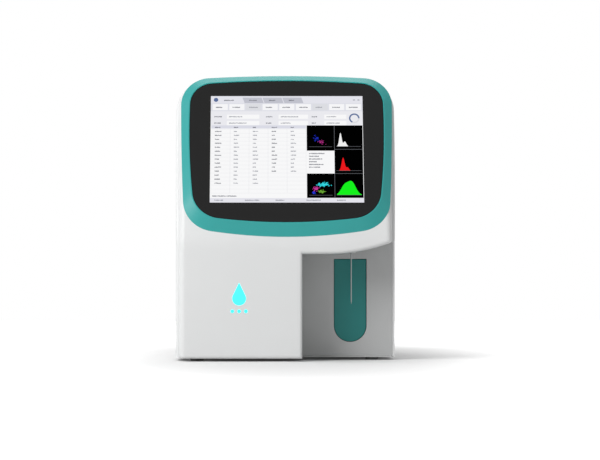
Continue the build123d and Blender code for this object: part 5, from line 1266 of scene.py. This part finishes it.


# Stage, lamps and camera

# The floor's camera-only glow is turned down near the object and rises outwards over an oval that is longer
# in front and behind than at the sides: a painted soft shadow round the object's base
stageLook = {"floorSize": 9.0, "floorWhite": 0.80, "floorRough": 0.9, "paintedShadowGlow": 0.03, "glowFar": 1.0,
             "paintedShadowInner": 0.2, "paintedShadowOuter": 1.28, "paintedShadowStretch": (2.4, 0.7, 1.0), "worldLevel": 0.32,
             "aim": (0, 0, 0.2)}
cameraPlace = {"place": (-0.0183, -2.7, 0.082), "lens": 112.86, "sensor": 36.0, "shiftX": 0.0467,
               "shiftY": 0.1167}
lamps = [
    {"name": "keyLamp", "place": (-2.0, -2.1, 1.9), "size": 2.2, "power": 82.0},
    {"name": "fillLamp", "place": (1.8, -1.8, 1.4), "size": 1.6, "power": 2.0},
    {"name": "topLamp", "place": (0.0, 0.4, 2.4), "size": 2.0, "power": 16.0},
]


# 1 for rays that reach the camera straight, mirrored or through something clear
def seenDirectly(tree):
    path = addNode(tree, "ShaderNodeLightPath")
    either = addNode(tree, "ShaderNodeMath", operation="MAXIMUM")
    anyRay = addNode(tree, "ShaderNodeMath", operation="MAXIMUM")
    join(tree, (path, "Is Camera Ray", either, 0), (path, "Is Glossy Ray", either, 1),
         (either, "Value", anyRay, 0), (path, "Is Transmission Ray", anyRay, 1))
    return anyRay


def buildFloor():
    s = stageLook
    half = s["floorSize"] / 2
    mesh = bpy.data.meshes.new("floor")
    corners = [(-half, -half, 0), (half, -half, 0), (half, half, 0), (-half, half, 0)]
    mesh.from_pydata(corners, [], [(0, 1, 2, 3)])
    floor = addObject("floor", mesh)
    material, tree, shader = newMaterial("floorPaleWithPaintedShadow")
    setInputs(shader, Base_Color=[s["floorWhite"]] * 3 + [1.0], Roughness=s["floorRough"],
              Specular_IOR_Level=0.0)
    # Glow seen only by the camera, lowest close to the object: painted shadow round its base, fading outwards
    glow = addNode(tree, "ShaderNodeEmission")
    strength = addNode(tree, "ShaderNodeMath", operation="MULTIPLY")
    place = addNode(tree, "ShaderNodeTexCoord")
    reach = addNode(tree, "ShaderNodeVectorMath", operation="LENGTH")
    spread = addNode(tree, "ShaderNodeMapRange", interpolation_type="SMOOTHSTEP", in_From_Min=s["paintedShadowInner"],
                     in_From_Max=s["paintedShadowOuter"], in_To_Min=s["paintedShadowGlow"], in_To_Max=s["glowFar"])
    # Stretch of the painted shadow: narrow at the sides, long in front and behind
    shadowOval = addNode(tree, "ShaderNodeMapping", in_Scale=s["paintedShadowStretch"])
    both = addNode(tree, "ShaderNodeAddShader")
    join(tree, (place, "Object", shadowOval, "Vector"), (shadowOval, "Vector", reach, 0),
         (reach, "Value", spread, "Value"), (spread, "Result", strength, 1),
         (seenDirectly(tree), "Value", strength, 0), (strength, "Value", glow, "Strength"),
         (shader, "BSDF", both, 0), (glow, "Emission", both, 1),
         (both, "Shader", tree.nodes["Material Output"], "Surface"))
    mesh.materials.append(material)
    print("floor set")


def buildWorld():
    world = bpy.data.worlds.new("world")
    bpy.context.scene.world = world
    world.use_nodes = True
    tree = world.node_tree
    background = tree.nodes["Background"]
    setInputs(background, Color=(1, 1, 1, 1))
    level = addNode(tree, "ShaderNodeMapRange", in_To_Min=stageLook["worldLevel"], in_To_Max=1.0)
    join(tree, (seenDirectly(tree), "Value", level, "Value"), (level, "Result", background, "Strength"))
    bpy.context.scene.view_settings.view_transform = "Standard"
    print("world set")


def buildLamps():
    aim = Vector(stageLook["aim"])
    for lamp in lamps:
        data = bpy.data.lights.new(lamp["name"], "AREA")
        data.shape = "DISK"
        data.size = lamp["size"]
        data.energy = lamp["power"]
        light = addObject(lamp["name"], data)
        light.location = lamp["place"]
        light.rotation_euler = (aim - Vector(lamp["place"])).to_track_quat("-Z", "Y").to_euler()
    print("lamps set")


def buildCamera():
    c = cameraPlace
    data = bpy.data.cameras.new("camera")
    data.lens = c["lens"]
    data.sensor_width = c["sensor"]
    data.shift_x = c["shiftX"]
    data.shift_y = c["shiftY"]
    camera = addObject("camera", data)
    camera.location = c["place"]
    camera.rotation_euler = (math.pi / 2, 0, 0)
    bpy.context.scene.camera = camera
    print("camera set")


buildCamera()
buildFloor()
buildWorld()
buildLamps()
dressNodes()
drawScreen()
buildRear()
buildDataPorts()
buildSerial()
buildPower()
buildInsideScrews()
buildGraduations()
buildBoardParts()
buildTubing()
buildWires()
